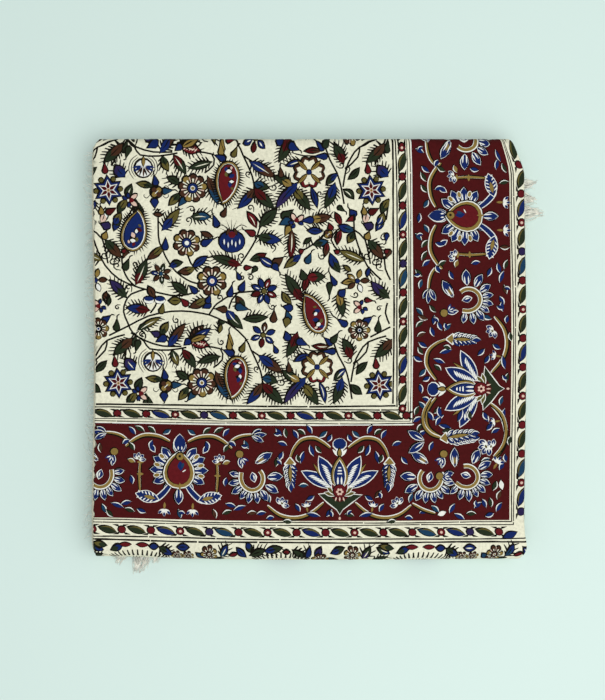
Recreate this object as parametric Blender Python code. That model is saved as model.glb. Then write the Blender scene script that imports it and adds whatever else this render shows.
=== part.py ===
"""A printed cotton tablecloth with two fringed edges, folded twice into a flat pack.

The cloth is folded in half twice across its width, which makes a bundle of four sheets. The
bundle is folded in half twice along its length, so sixteen sheets lie one on another. The
whole cloth is one solid, a thick sheet that follows both folds. Its two fringed edges lie on
the left of the pack, and two stray locks of fringe show under the right side and the front.

Metres, +Z up. The origin is on the surface that the pack lies on, under its middle. The
corner of the printed border is on top, at the front right.
"""

import math
import random

import bmesh
import bpy
from mathutils import Vector

# Driving sizes of the pack and of its sheets.
PACK_WIDTH = 0.346
PACK_DEPTH = 0.340
SHEET = 0.0012
SHEET_GAP = 0.00045
BUNDLE_GAP = 0.0006
SHEETS = 4
BUNDLES = 4

# What follows from them. A level is counted from the top, for a sheet in its bundle and for a
# bundle in the pack.
SHEET_PITCH = SHEET + SHEET_GAP
BUNDLE = SHEETS * SHEET + (SHEETS - 1) * SHEET_GAP
BUNDLE_PITCH = BUNDLE + BUNDLE_GAP
PACK_HEIGHT = BUNDLES * BUNDLE + (BUNDLES - 1) * BUNDLE_GAP
LEFT = -PACK_WIDTH / 2
RIGHT = PACK_WIDTH / 2
FRONT = -PACK_DEPTH / 2
BACK = PACK_DEPTH / 2
# How far the loose edges of the third and fourth sheets pass the left fold.
THIRD_EDGE_PAST = 0.0012
FOURTH_EDGE_PAST = 0.0028

# How finely the folds and the flat runs are divided.
WIDE_TURN_STEPS = 8
TIGHT_TURN_STEPS = 6
PACK_TURN_STEPS = 12
BUNDLE_TURN_STEPS = 6
ACROSS_STEPS = 3
ALONG_STEPS = 3
CORNER_STEPS = 2

# The runs of the bundle, in order along the cloth: its level, where it starts and ends along Y,
# and how far its left and right folds stand out past the pack's own.
RUNS = (
    {"level": 3, "start": BACK - 0.0045, "end": None, "left_out": 0.0010, "right_out": -0.0012},
    {"level": 0, "start": None, "end": None, "left_out": 0.0, "right_out": 0.0},
    {"level": 1, "start": None, "end": None, "left_out": 0.0016, "right_out": -0.0022},
    {"level": 2, "start": None, "end": BACK - 0.0020, "left_out": -0.0008, "right_out": 0.0006},
)
# How each corner of the pack is rounded: how far the cloth draws in at the very edge, how far
# from the edge that starts, and how sharply it grows. The folds that lie inside another fold
# draw in by a smaller part.
CORNERS = {
    ("front", "left"): {"in": 0.0060, "reach": 0.0080, "power": 3.0},
    ("front", "right"): {"in": 0.0045, "reach": 0.0080, "power": 3.0},
    ("back", "left"): {"in": 0.0100, "reach": 0.0120, "power": 3.0},
    ("back", "right"): {"in": 0.0108, "reach": 0.0280, "power": 1.2},
}
CORNER_REACH = 0.028
NESTED_PART = 0.5
# The small ear of cloth that stands out at the front right, where the top bundle turns down.
EAR_OUT = 0.0020
EAR_REACH = 0.016
EAR_FROM_FRONT = 0.011

# How uneven the pack lies: the front edge bows, the sides wander, and the top is a little full.
FRONT_LEFT_IN = 0.0055
FRONT_RIGHT_IN = 0.0015
SIDE_WANDER = 0.0009
SIDE_WAVES = 2.3
TOP_FULL = 0.035

# The fringe: its heading, 0.3 mm outside the cloth's edge, and the strands that grow from it.
CLEAR = 0.0003
HEADING = 0.0012
HEADING_THICK = 0.0009
STRAND_SIDE = 0.0009
STRAND_MARGIN = 0.030
EDGE_STRANDS = 13
EDGE_LENGTHS = (0.0052, 0.0070)
STRAND_LEAN = 0.35
STRAND_WAVES = 7.0
LOWEST_DROOP = 0.8
SEED = 11

# A strand's own shape, as parts of its length: how far out, how far down, and how thick.
DROOP = (
    {"out": 0.42, "drop": 0.03, "width": 1.0},
    {"out": 0.78, "drop": 0.42, "width": 0.9},
    {"out": 1.00, "drop": 1.30, "width": 0.6},
)
LYING = (
    {"out": 0.50, "width": 0.9},
    {"out": 1.00, "width": 0.55},
)

# Two stray locks of fringe on the surface: the ends of their heading, and by the place along
# it the direction in degrees and the length of the strands.
LOCK_STRANDS = 20
LOCK_SIDE = 0.0013
LOCK_THICK = 0.0010
RIGHT_LOCK_ENDS = (0.100, 0.142)
RIGHT_LOCK = (
    {"at": 0.00, "angle": -58, "length": 0.007},
    {"at": 0.30, "angle": -26, "length": 0.021},
    {"at": 0.45, "angle": -20, "length": 0.013},
    {"at": 0.62, "angle": -16, "length": 0.014},
    {"at": 0.76, "angle": -10, "length": 0.009},
    {"at": 0.88, "angle": -6, "length": 0.012},
    {"at": 1.00, "angle": 4, "length": 0.005},
)
FRONT_LOCK_ENDS = (-0.118, -0.152)
FRONT_LOCK = (
    {"at": 0.00, "angle": 245, "length": 0.010},
    {"at": 0.35, "angle": 240, "length": 0.031},
    {"at": 0.62, "angle": 236, "length": 0.018},
    {"at": 0.85, "angle": 226, "length": 0.020},
    {"at": 1.00, "angle": 218, "length": 0.012},
)

PRINT_CREAM = (0.80, 0.78, 0.66)
FRINGE_CREAM = (0.72, 0.72, 0.62)


def clear_scene():
    for obj in list(bpy.data.objects):
        bpy.data.objects.remove(obj, do_unlink=True)


def fabric(name, color, roughness):
    material = bpy.data.materials.new(name)
    material.use_nodes = True
    shader = material.node_tree.nodes["Principled BSDF"]
    shader.inputs["Base Color"].default_value = (*color, 1)
    shader.inputs["Roughness"].default_value = roughness
    shader.inputs["Metallic"].default_value = 0
    return material


def smooth(t):
    t = min(1.0, max(0.0, t))
    return t * t * (3 - 2 * t)


def sheet_height(level):
    """Height of a sheet's middle above the bundle's middle."""
    return BUNDLE / 2 - SHEET / 2 - level * SHEET_PITCH


def bundle_height(level):
    """Height of a bundle's middle above the surface that the pack lies on."""
    return PACK_HEIGHT - BUNDLE / 2 - level * BUNDLE_PITCH


def turn(middle, radius, start, end, steps, outward=1):
    """Stations on an arc in degrees: two coordinates and the normal of the printed face."""
    stations = []
    for step in range(steps + 1):
        angle = math.radians(start + (end - start) * step / steps)
        a, b = math.cos(angle), math.sin(angle)
        stations.append((middle[0] + radius * a, middle[1] + radius * b, outward * a, outward * b))
    return stations


def between(first, last, steps):
    """Stations strictly between two others on a flat run."""
    found = []
    for step in range(1, steps):
        t = step / steps
        found.append((first[0] + (last[0] - first[0]) * t, first[1], first[2], first[3]))
    return found


def section():
    """Middle line of the bundle's section, as (x, height, normal x, normal height).

    It starts at the loose edge of the fourth sheet, under the others, and ends at the loose
    edge of the third.
    """
    wide = (RIGHT - BUNDLE / 2, 0.0)
    tight = SHEET_PITCH / 2
    left_middle = (LEFT + tight + SHEET / 2, (sheet_height(0) + sheet_height(1)) / 2)
    inner_middle = (RIGHT - BUNDLE / 2, (sheet_height(1) + sheet_height(2)) / 2)
    fourth_edge = [(LEFT - FOURTH_EDGE_PAST, sheet_height(3), 0.0, -1.0)]
    right_fold = turn(wide, 1.5 * SHEET_PITCH, -90, 90, WIDE_TURN_STEPS)
    left_fold = turn(left_middle, tight, 90, 270, TIGHT_TURN_STEPS)
    inner_fold = turn(inner_middle, tight, 90, -90, TIGHT_TURN_STEPS, outward=-1)
    third_edge = [(LEFT - THIRD_EDGE_PAST, sheet_height(2), 0.0, 1.0)]
    stations = list(fourth_edge)
    for part in (right_fold, left_fold, inner_fold, third_edge):
        stations += between(stations[-1], part[0], ACROSS_STEPS) + part
    return stations


def pack_path():
    """Middle line of the bundle along the cloth, one row for each station.

    Each row has the place along Y and Z, the normal of the bundle's outer face, and how far
    the left and right folds stand out past the pack's own.
    """
    front_middle = (FRONT + PACK_HEIGHT / 2, PACK_HEIGHT / 2)
    back_middle = (BACK - BUNDLE_PITCH / 2 - BUNDLE / 2, (bundle_height(0) + bundle_height(1)) / 2)
    turns = (
        turn(front_middle, 1.5 * BUNDLE_PITCH, 270, 90, PACK_TURN_STEPS),
        turn(back_middle, BUNDLE_PITCH / 2, 90, -90, BUNDLE_TURN_STEPS),
        turn(front_middle, BUNDLE_PITCH / 2, 90, 270, BUNDLE_TURN_STEPS, outward=-1),
    )
    rows = []
    for index, run in enumerate(RUNS):
        before = turns[index - 1] if index else None
        after = turns[index] if index < len(turns) else None
        facing = before[-1][3] if before else after[0][3]
        height = bundle_height(run["level"])
        start = before[-1][0] if before else run["start"]
        end = after[0][0] if after else run["end"]
        toward = math.copysign(1, end - start)
        places = (start, start + toward * CORNER_REACH, end - toward * CORNER_REACH, end)
        marks = [(place, height, 0.0, facing) for place in places]
        stations = [marks[0]]
        for mark, steps in zip(marks[1:], (CORNER_STEPS, ALONG_STEPS, CORNER_STEPS)):
            stations += between(stations[-1], mark, steps) + [mark]
        if before:
            stations = stations[1:]
        rows += [(*s, run["left_out"], run["right_out"]) for s in stations]
        if after:
            following = RUNS[index + 1]
            stations = after[1:]
            for step, s in enumerate(stations, start=1):
                t = smooth(step / len(stations))
                outs = [run[k] + (following[k] - run[k]) * t for k in ("left_out", "right_out")]
                rows.append((*s, *outs))
    return rows


def drawn_in(place, height, side):
    """How far the left or right end of the bundle draws in near the corner at this place."""
    corner = CORNERS["front" if place < 0 else "back", side]
    amount = max(0.0, 1 - (PACK_DEPTH / 2 - abs(place)) / corner["reach"])
    inner = place < 0 and bundle_height(2) - CLEAR < height < bundle_height(1) + CLEAR
    return corner["in"] * amount ** corner["power"] * (NESTED_PART if inner else 1.0)


def ear(place, height):
    """The small fullness at the front right corner, on the top bundle only."""
    lift = smooth((height - bundle_height(1)) / BUNDLE_PITCH)
    return EAR_OUT * lift * smooth(1 - abs(place - FRONT - EAR_FROM_FRONT) / EAR_REACH)


def lie(x, y, z):
    """Where a point of the ideal pack lies in the uneven one."""
    side = x / RIGHT
    toward_front = smooth(0.5 - y / PACK_DEPTH)
    bow = FRONT_LEFT_IN * smooth(-side) ** 2 + FRONT_RIGHT_IN * smooth(side) ** 2
    wander = SIDE_WANDER * math.sin(SIDE_WAVES * math.pi * y / PACK_DEPTH + 1.5 * side)
    fullness = TOP_FULL * (1 - min(1.0, side * side)) * (1 - min(1.0, (y / BACK) ** 2))
    return Vector((x + wander * side, y + bow * toward_front, z * (1 + fullness)))


def folded(x, height, station):
    """A point of the bundle's section, carried along the pack's path and laid down."""
    y, z, normal_y, normal_z, left_out, right_out = station
    left_shift = left_out - drawn_in(y, z, "left")
    right_shift = right_out - drawn_in(y, z, "right") + ear(y, z)
    side = x / RIGHT
    shift = right_shift * smooth(side) if side > 0 else -left_shift * smooth(-side)
    return lie(x + shift, y + height * normal_y, z + height * normal_z)


def mesh_object(name, points, faces, material):
    mesh = bpy.data.meshes.new(name)
    mesh.from_pydata(points, [], faces)
    made = bmesh.new()
    made.from_mesh(mesh)
    bmesh.ops.recalc_face_normals(made, faces=made.faces)
    made.to_mesh(mesh)
    made.free()
    mesh.shade_smooth()
    mesh.set_sharp_from_angle(angle=math.radians(50))
    mesh.materials.append(material)
    obj = bpy.data.objects.new(name, mesh)
    COLLECTION.objects.link(obj)
    return obj


def thick_sheet(name, rows, material):
    """A closed sheet from rows of point pairs, one pair for its printed face and its back."""
    count = len(rows[0])
    points = [point for row in rows for pair in row for point in pair]

    def at(row, column, back):
        return (row * count + column) * 2 + back

    faces = []
    for r in range(len(rows) - 1):
        for c in range(count - 1):
            faces.append([at(r, c, 0), at(r, c + 1, 0), at(r + 1, c + 1, 0), at(r + 1, c, 0)])
            faces.append([at(r + 1, c, 1), at(r + 1, c + 1, 1), at(r, c + 1, 1), at(r, c, 1)])
        for c, order in ((0, 1), (count - 1, -1)):
            edge = [at(r, c, 0), at(r + 1, c, 0), at(r + 1, c, 1), at(r, c, 1)]
            faces.append(edge[::order])
    for r, order in ((0, -1), (len(rows) - 1, 1)):
        for c in range(count - 1):
            edge = [at(r, c, 0), at(r, c + 1, 0), at(r, c + 1, 1), at(r, c, 1)]
            faces.append(edge[::order])
    return mesh_object(name, points, faces, material)


def cloth():
    """The whole cloth: the section's four sheets at every station of the pack's path."""
    stations = section()
    half = SHEET / 2
    rows = []
    for place in pack_path():
        row = []
        for x, height, normal_x, normal_height in stations:
            pair = [
                folded(x + face * half * normal_x, height + face * half * normal_height, place)
                for face in (1, -1)
            ]
            row.append(pair)
        rows.append(row)
    return thick_sheet("cloth", rows, PRINT)


def strip_with_strands(name, rows, strands, material):
    """A closed strip with strands that grow out of its outer side, all one solid.

    A row has four corners: near top, far top, far bottom and near bottom. The strands are
    given by the row that they start after, each as a list of rings with corners in the order
    near row top, next row top, next row bottom and near row bottom.
    """
    points = [corner for row in rows for corner in row]
    faces = [[0, 1, 2, 3]]
    for r in range(len(rows) - 1):
        a, b = 4 * r, 4 * (r + 1)
        for side in range(4):
            if side == 1 and r in strands:
                continue
            after = (side + 1) % 4
            faces.append([a + side, b + side, b + after, a + after])
        ring = [a + 1, b + 1, b + 2, a + 2]
        for corners in strands.get(r, ()):
            outer = [len(points) + k for k in range(4)]
            points += corners
            for k in range(4):
                after = (k + 1) % 4
                faces.append([ring[k], ring[after], outer[after], outer[k]])
            ring = outer
        if r in strands:
            faces.append(ring)
    last = 4 * (len(rows) - 1)
    faces.append([last + 3, last + 2, last + 1, last])
    return mesh_object(name, points, faces, material)


def ring_at(middle, across, up):
    """Four corners of a strand around its middle, in the order of strip_with_strands."""
    return [middle - across + up, middle + across + up, middle + across - up, middle - across - up]


def heading_row(edge_x, height, station):
    """Four corners of the fringe's heading at one station of the pack's path."""
    near = edge_x - CLEAR
    far = near - HEADING
    top, bottom = height + HEADING_THICK / 2, height - HEADING_THICK / 2
    return [folded(x, h, station) for x, h in ((near, top), (far, top), (far, bottom), (near, bottom))]


def drooping_strand(row, following, length):
    """Rings of a strand that leaves the left side level and then droops."""
    middle = sum((row[1], row[2], following[1], following[2]), Vector()) / 4
    across = (following[1] - row[1]) / 2
    up = (row[1] - row[2]) / 2
    lean = STRAND_LEAN * math.sin(STRAND_WAVES * middle.y / PACK_DEPTH)
    rings = []
    for part in DROOP:
        out = part["out"] * length
        drop = min(part["drop"] * length, middle.z * LOWEST_DROOP)
        place = middle + Vector((-out, lean * out, -drop))
        rings.append(ring_at(place, across * part["width"], up * part["width"]))
    return rings


def slots_of_run(run, first_slot):
    """Places along Y where one run of the bundle has its strands, clear of every other run's."""
    every = 2 * len(RUNS)
    pitch = (PACK_DEPTH - 2 * STRAND_MARGIN) / (EDGE_STRANDS * every)
    slots = [strand * every + 2 * run + first_slot for strand in range(EDGE_STRANDS)]
    return [FRONT + STRAND_MARGIN + pitch * (slot + 0.5) for slot in slots]


def edge_fringe(name, edge_x, level, first_slot):
    """The fringe along one loose edge of the cloth, through every fold of the pack."""
    dice = random.Random(SEED + level)
    height = sheet_height(level)
    levels = [bundle_height(run["level"]) for run in RUNS]
    path = pack_path()
    rows, strands = [], {}
    for here, after in zip(path, path[1:]):
        rows.append(heading_row(edge_x, height, here))
        if here[1] not in levels or after[1] != here[1]:
            continue
        first, last = rows[-1], heading_row(edge_x, height, after)
        toward = math.copysign(1, after[0] - here[0])
        reach = abs(after[0] - here[0])
        roots = [(y - here[0]) * toward for y in slots_of_run(levels.index(here[1]), first_slot)]
        for root in sorted(r for r in roots if STRAND_SIDE < r < reach - STRAND_SIDE):
            for edge in (root - STRAND_SIDE / 2, root + STRAND_SIDE / 2):
                rows.append([a.lerp(b, edge / reach) for a, b in zip(first, last)])
            strands[len(rows) - 2] = drooping_strand(rows[-2], rows[-1], dice.uniform(*EDGE_LENGTHS))
    rows.append(heading_row(edge_x, height, path[-1]))
    return strip_with_strands(name, rows, strands, FRINGE)


def between_rows(table, place, key):
    """Value of a column at a place between the rows of a table."""
    for before, after in zip(table, table[1:]):
        if place <= after["at"]:
            t = smooth((place - before["at"]) / (after["at"] - before["at"]))
            return before[key] + (after[key] - before[key]) * t
    return table[-1][key]


def lock(name, table, first, last, outward):
    """A stray lock of fringe that lies on the surface, its heading just under the pack."""
    span = last - first
    across = span.normalized() * LOCK_SIDE / 2
    top = Vector((0, 0, LOCK_THICK))
    ends = []
    for strand in range(LOCK_STRANDS):
        middle = (strand + 0.5) / LOCK_STRANDS
        half = LOCK_SIDE / span.length / 2
        ends += [middle - half, middle + half]
    rows = []
    for t in [0.0] + ends + [1.0]:
        near = first + span * t
        far = near + outward * HEADING
        rows.append([near + top, far + top, far, near])
    strands = {}
    for strand in range(LOCK_STRANDS):
        t = (strand + 0.5) / LOCK_STRANDS
        root = first + span * t + outward * HEADING + top / 2
        angle = math.radians(between_rows(table, t, "angle"))
        length = between_rows(table, t, "length")
        direction = Vector((math.cos(angle), math.sin(angle), 0))
        rings = []
        for part in LYING:
            place = root + direction * length * part["out"]
            place.z = LOCK_THICK * part["width"] / 2
            rings.append(ring_at(place, across * part["width"], top * part["width"] / 2))
        strands[1 + 2 * strand] = rings
    return strip_with_strands(name, rows, strands, FRINGE)


def right_lock():
    """The lock whose heading lies just outside the lowest bundle's right fold."""
    station = (0.0, bundle_height(3), 0.0, -1.0, RUNS[0]["left_out"], RUNS[0]["right_out"])
    ends = []
    for y in RIGHT_LOCK_ENDS:
        wall = folded(RIGHT, 0.0, (y, *station[1:]))
        ends.append(Vector((wall.x - CLEAR, y, 0.0)))
    return lock("fringe_lock_right", RIGHT_LOCK, ends[0], ends[1], Vector((1, 0, 0)))


def front_lock():
    """The lock whose heading lies under the round front of the pack."""
    radius = PACK_HEIGHT / 2
    under = radius - math.sqrt(radius**2 - (radius - LOCK_THICK) ** 2)
    ends = []
    for x in FRONT_LOCK_ENDS:
        wall = lie(x, FRONT + under, 0.0)
        ends.append(Vector((x, wall.y - 2 * CLEAR, 0.0)))
    return lock("fringe_lock_front", FRONT_LOCK, ends[0], ends[1], Vector((0, -1, 0)))


clear_scene()
COLLECTION = bpy.data.collections.new("folded_tablecloth")
bpy.context.scene.collection.children.link(COLLECTION)
PRINT = fabric("printed_cotton", PRINT_CREAM, 0.85)
FRINGE = fabric("fringe_cotton", FRINGE_CREAM, 0.9)

cloth()
edge_fringe("fringe_edge_outer", LEFT - FOURTH_EDGE_PAST, 3, 0)
edge_fringe("fringe_edge_inner", LEFT - THIRD_EDGE_PAST, 2, 1)
right_lock()
front_lock()
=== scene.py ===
"""A folded block-printed cotton tablecloth: its printed cloth, fringe, light and camera.

The cloth is one thin sheet that follows the two fold lines of its solid. Its print is drawn flat,
as ink shapes on the unfolded cloth, and every ink shape is cut into the sheet's printed face.
The print is charted in pixels of the photograph, which are 0.8 mm on the cloth: X to the
right and Y down, flat on the top of the pack and unrolled past its edges.
"""

import bisect
import math
import random

import bpy
import numpy as np
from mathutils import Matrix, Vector, geometry, noise


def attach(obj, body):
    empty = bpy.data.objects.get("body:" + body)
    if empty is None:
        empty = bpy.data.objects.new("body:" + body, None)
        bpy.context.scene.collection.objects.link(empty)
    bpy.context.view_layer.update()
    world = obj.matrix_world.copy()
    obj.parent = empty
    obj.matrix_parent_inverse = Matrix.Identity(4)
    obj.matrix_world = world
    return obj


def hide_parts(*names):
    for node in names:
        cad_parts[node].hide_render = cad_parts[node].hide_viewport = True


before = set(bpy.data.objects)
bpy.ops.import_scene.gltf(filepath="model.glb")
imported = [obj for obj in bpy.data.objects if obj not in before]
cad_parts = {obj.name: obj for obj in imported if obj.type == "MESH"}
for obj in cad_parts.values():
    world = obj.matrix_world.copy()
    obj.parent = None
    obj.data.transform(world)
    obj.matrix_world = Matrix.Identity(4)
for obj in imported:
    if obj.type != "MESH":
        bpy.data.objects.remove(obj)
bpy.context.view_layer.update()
DICE = random.Random(7)

# The pack and its folds, in metres, as in the solids. Only the loose edges lie a little
# further in, because this sheet is thinner.
PACK_WIDTH = 0.346
PACK_DEPTH = 0.340
SHEET = 0.0012
SHEET_GAP = 0.00045
BUNDLE_GAP = 0.0006
SHEET_PITCH = SHEET + SHEET_GAP
BUNDLE = 4 * SHEET_PITCH - SHEET_GAP
BUNDLE_PITCH = BUNDLE + BUNDLE_GAP
PACK_HEIGHT = 4 * BUNDLE_PITCH - BUNDLE_GAP
LEFT, RIGHT = -PACK_WIDTH / 2, PACK_WIDTH / 2
FRONT, BACK = -PACK_DEPTH / 2, PACK_DEPTH / 2
THIRD_EDGE_PAST = 0.0006
FOURTH_EDGE_PAST = 0.0014
# The four runs of the bundle, from the lowest along the cloth, and how far each sticks out.
RUNS = (
    {"start": BACK - 0.0045, "left_out": 0.0004, "right_out": -0.0012},
    {"left_out": 0.0, "right_out": 0.0},
    {"left_out": 0.0006, "right_out": -0.0022},
    {"end": BACK - 0.0020, "left_out": -0.0008, "right_out": 0.0006},
)
CORNERS = {
    ("front", "left"): {"in": 0.0060, "reach": 0.0080, "power": 3.0},
    ("front", "right"): {"in": 0.0045, "reach": 0.0080, "power": 3.0},
    ("back", "left"): {"in": 0.0100, "reach": 0.0120, "power": 3.0},
    ("back", "right"): {"in": 0.0108, "reach": 0.0280, "power": 1.2},
}
NESTED_PART = 0.5
LEVEL_SLACK = 0.0003
CORNER_PULL_ON_TOP = 0.15
CORNER_PULL_FROM = 0.82
EAR_OUT, EAR_REACH, EAR_FROM_FRONT = 0.0020, 0.016, 0.011
FRONT_LEFT_IN, FRONT_RIGHT_IN = 0.0028, 0.0008
SIDE_WANDER, SIDE_WAVES, SIDE_PHASE = 0.0009, 2.3, 1.5
TOP_FULL = 0.035
# Soft waves of the pack's top: their share of the height, and each one's waves a metre, seed and share.
PUFF = 0.016
PUFF_WAVES = ((13, 1.7, 1.0), (31, 4.2, 0.5))

# The visual sheet: its thickness, the size of a photo pixel on it and the pack's place in the photo.
CLOTH_THICK = 0.00105
PIXEL = 0.0008
PHOTO_WIDTH, PHOTO_HEIGHT = 605, 700
MIDDLE_X, MIDDLE_Y = 310.0, 350.0

# Ink and cloth colours, as they look in the photo.
COLORS = {
    "cream": (229, 227, 203),
    "reverse": (204, 203, 184),
    "dark": (16, 14, 7),
    "maroon": (72, 17, 18),
    "red": (94, 22, 27),
    "blue": (20, 38, 92),
    "teal": (26, 60, 88),
    "green": (36, 46, 30),
    "olive": (92, 84, 42),
    "ochre": (134, 112, 58),
    "brown": (68, 42, 28),
    "pink": (216, 186, 168),
    "white": (230, 232, 224),
    "purple": (42, 34, 74),
}
THREAD_COLOR = (247, 246, 235)
FLOOR_COLOR = (212, 231, 225)


# Folds
def smooth(t):
    t = min(1.0, max(0.0, t))
    return t * t * (3 - 2 * t)


def sheet_height(level):
    return BUNDLE / 2 - SHEET / 2 - level * SHEET_PITCH


def bundle_height(level):
    return PACK_HEIGHT - BUNDLE / 2 - level * BUNDLE_PITCH


class FoldLine:
    """A line of flat runs and round turns, read by the distance along it."""

    def __init__(self):
        self.parts = []
        self.starts = [0.0]

    def flat(self, start, end, height, facing):
        self.parts.append(("flat", start, end, height, facing))
        self.starts.append(self.starts[-1] + abs(end - start))

    def turn(self, middle, radius, start, end, outward=1):
        start, end = math.radians(start), math.radians(end)
        self.parts.append(("turn", middle, radius, start, end, outward))
        self.starts.append(self.starts[-1] + radius * abs(end - start))

    @property
    def length(self):
        return self.starts[-1]

    def at(self, distance):
        """Two coordinates, the normal of the printed face, and the number of the part."""
        index = min(len(self.parts) - 1, max(0, bisect.bisect_right(self.starts, distance) - 1))
        part = self.parts[index]
        t = (distance - self.starts[index]) / (self.starts[index + 1] - self.starts[index])
        place = index + min(t, 0.999999)
        if part[0] == "flat":
            _, start, end, height, facing = part
            return start + (end - start) * t, height, 0.0, facing, place
        _, middle, radius, start, end, outward = part
        angle = start + (end - start) * t
        a, b = math.cos(angle), math.sin(angle)
        return middle[0] + radius * a, middle[1] + radius * b, outward * a, outward * b, place


def section_line():
    """The four sheets of the bundle, from the fourth sheet's loose edge to the third's."""
    tight = SHEET_PITCH / 2
    turn_x = RIGHT - BUNDLE / 2
    left_x = LEFT + tight + SHEET / 2
    line = FoldLine()
    line.flat(LEFT - FOURTH_EDGE_PAST, turn_x, sheet_height(3), -1.0)
    line.turn((turn_x, 0.0), 1.5 * SHEET_PITCH, -90, 90)
    line.flat(turn_x, left_x, sheet_height(0), 1.0)
    line.turn((left_x, (sheet_height(0) + sheet_height(1)) / 2), tight, 90, 270)
    line.flat(left_x, turn_x, sheet_height(1), -1.0)
    line.turn((turn_x, (sheet_height(1) + sheet_height(2)) / 2), tight, 90, -90, -1)
    line.flat(turn_x, LEFT - THIRD_EDGE_PAST, sheet_height(2), 1.0)
    return line


def pack_line():
    """The bundle's own path along the cloth, from the lowest run to the third."""
    front_y, back_y = FRONT + PACK_HEIGHT / 2, BACK - BUNDLE_PITCH / 2 - BUNDLE / 2
    back_z = (bundle_height(0) + bundle_height(1)) / 2
    line = FoldLine()
    line.flat(RUNS[0]["start"], front_y, bundle_height(3), -1.0)
    line.turn((front_y, PACK_HEIGHT / 2), 1.5 * BUNDLE_PITCH, 270, 90)
    line.flat(front_y, back_y, bundle_height(0), 1.0)
    line.turn((back_y, back_z), BUNDLE_PITCH / 2, 90, -90)
    line.flat(back_y, front_y, bundle_height(1), -1.0)
    line.turn((front_y, PACK_HEIGHT / 2), BUNDLE_PITCH / 2, 90, 270, -1)
    line.flat(front_y, RUNS[3]["end"], bundle_height(2), 1.0)
    return line


SECTION = section_line()
PATH = pack_line()
FLAT_WIDTH, FLAT_LENGTH = SECTION.length, PATH.length
# Distances along the two lines where the top sheet's flat part starts, and the photo pixels there.
TOP_ACROSS, TOP_ALONG = SECTION.starts[2], PATH.starts[2]
TOP_X = MIDDLE_X + (RIGHT - BUNDLE / 2) / PIXEL
TOP_Y = MIDDLE_Y - (FRONT + PACK_HEIGHT / 2) / PIXEL
# The whole cloth in photo pixels.
CLOTH_X = (TOP_X - (FLAT_WIDTH - TOP_ACROSS) / PIXEL, TOP_X + TOP_ACROSS / PIXEL)
CLOTH_Y = (TOP_Y - (FLAT_LENGTH - TOP_ALONG) / PIXEL, TOP_Y + TOP_ALONG / PIXEL)


def drawn_in(place, height, side):
    """How far a corner of the pack is drawn in, less for the runs nested inside the pack."""
    corner = CORNERS["front" if place < 0 else "back", side]
    amount = max(0.0, 1 - (PACK_DEPTH / 2 - abs(place)) / corner["reach"])
    inner = place < 0 and bundle_height(2) - LEVEL_SLACK < height < bundle_height(1) + LEVEL_SLACK
    return corner["in"] * amount ** corner["power"] * (NESTED_PART if inner else 1.0)


def ear(place, height):
    """The small ear that sticks out of the right side near the front."""
    lift = smooth((height - bundle_height(1)) / BUNDLE_PITCH)
    return EAR_OUT * lift * smooth(1 - abs(place - FRONT - EAR_FROM_FRONT) / EAR_REACH)


def puff(x, y):
    """Soft unevenness of the pack's top, as a part of the height."""
    waves = [share * noise.noise(Vector((x * count, y * count, seed))) for count, seed, share in PUFF_WAVES]
    return PUFF * sum(waves)


def lie(x, y, z):
    """The even pack's point, moved to where it lies in the soft, uneven pack."""
    side = x / RIGHT
    toward_front = smooth(0.5 - y / PACK_DEPTH)
    bow = FRONT_LEFT_IN * smooth(-side) ** 2 + FRONT_RIGHT_IN * smooth(side) ** 2
    wander = SIDE_WANDER * math.sin(SIDE_WAVES * math.pi * y / PACK_DEPTH + SIDE_PHASE * side)
    fullness = TOP_FULL * (1 - min(1.0, side * side)) * (1 - min(1.0, (y / BACK) ** 2))
    return (x + wander * side, y + bow * toward_front, z * (1 + fullness + puff(x, y)))


def folded(across, along, lift):
    """Where a point of the flat cloth lies in the pack, lift above the sheet's middle."""
    x, height, normal_x, normal_height, _ = SECTION.at(across)
    y, z, normal_y, normal_z, part = PATH.at(along)
    x += lift * normal_x
    height += lift * normal_height
    side = x / RIGHT
    name = "right" if side > 0 else "left"
    index = min(3, int(part) // 2)
    out = RUNS[index][name + "_out"]
    if int(part) % 2:
        out += (RUNS[index + 1][name + "_out"] - out) * smooth(part - int(part))
    if side > 0:
        out += ear(y, z)
    near_side = smooth((abs(side) - CORNER_PULL_FROM) / (1 - CORNER_PULL_FROM))
    pull = CORNER_PULL_ON_TOP * smooth(abs(side)) + (1 - CORNER_PULL_ON_TOP) * near_side
    x += (out * smooth(abs(side)) - drawn_in(y, z, name) * pull) * (1 if side > 0 else -1)
    return lie(x, y + height * normal_y, z + height * normal_z)


def place_of_pixel(x, y):
    return TOP_ACROSS + (TOP_X - x) * PIXEL, TOP_ALONG + (TOP_Y - y) * PIXEL


# Ink shapes
# The motifs below are drawn in photo pixels, or in parts of their size where they have one.
INK = []
OUTLINE = 1.4
# How far the colour blocks sit off the dark outline block, and how unsteady every edge is.
OFF_X, OFF_Y = 0.35, 0.30
SHAKE = 0.10
HAIR_REACH, HAIR_EVERY = 4.9, 3.0
HAIRS_FROM, HAIRS_TO = 0.12, 0.97
SIDES = {"none": (), "left": (1,), "right": (-1,), "both": (1, -1)}


def two_sided(rows):
    """A closed outline from its place along, its middle and its half width, row by row."""
    upper = [(a, middle + half) for a, middle, half in rows]
    lower = [(a, middle - half) for a, middle, half in rows]
    return upper + lower[-2:0:-1]


def oval_shape(wide, high, steps, at=(0, 0)):
    turn = 2 * math.pi / steps
    return [(at[0] + wide * math.cos(turn * k), at[1] + high * math.sin(turn * k)) for k in range(steps)]


def lens_shape(start, end, width, bend=0.0, steps=6, sharp=1.0):
    """A shape with two pointed ends along the first axis, its middle moved aside by bend."""
    rows = []
    for k in range(steps + 1):
        t = k / steps
        half = width / 2 * math.sin(math.pi * t) ** sharp
        rows.append((start + (end - start) * t, bend * 4 * t * (1 - t), half))
    return two_sided(rows)


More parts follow.
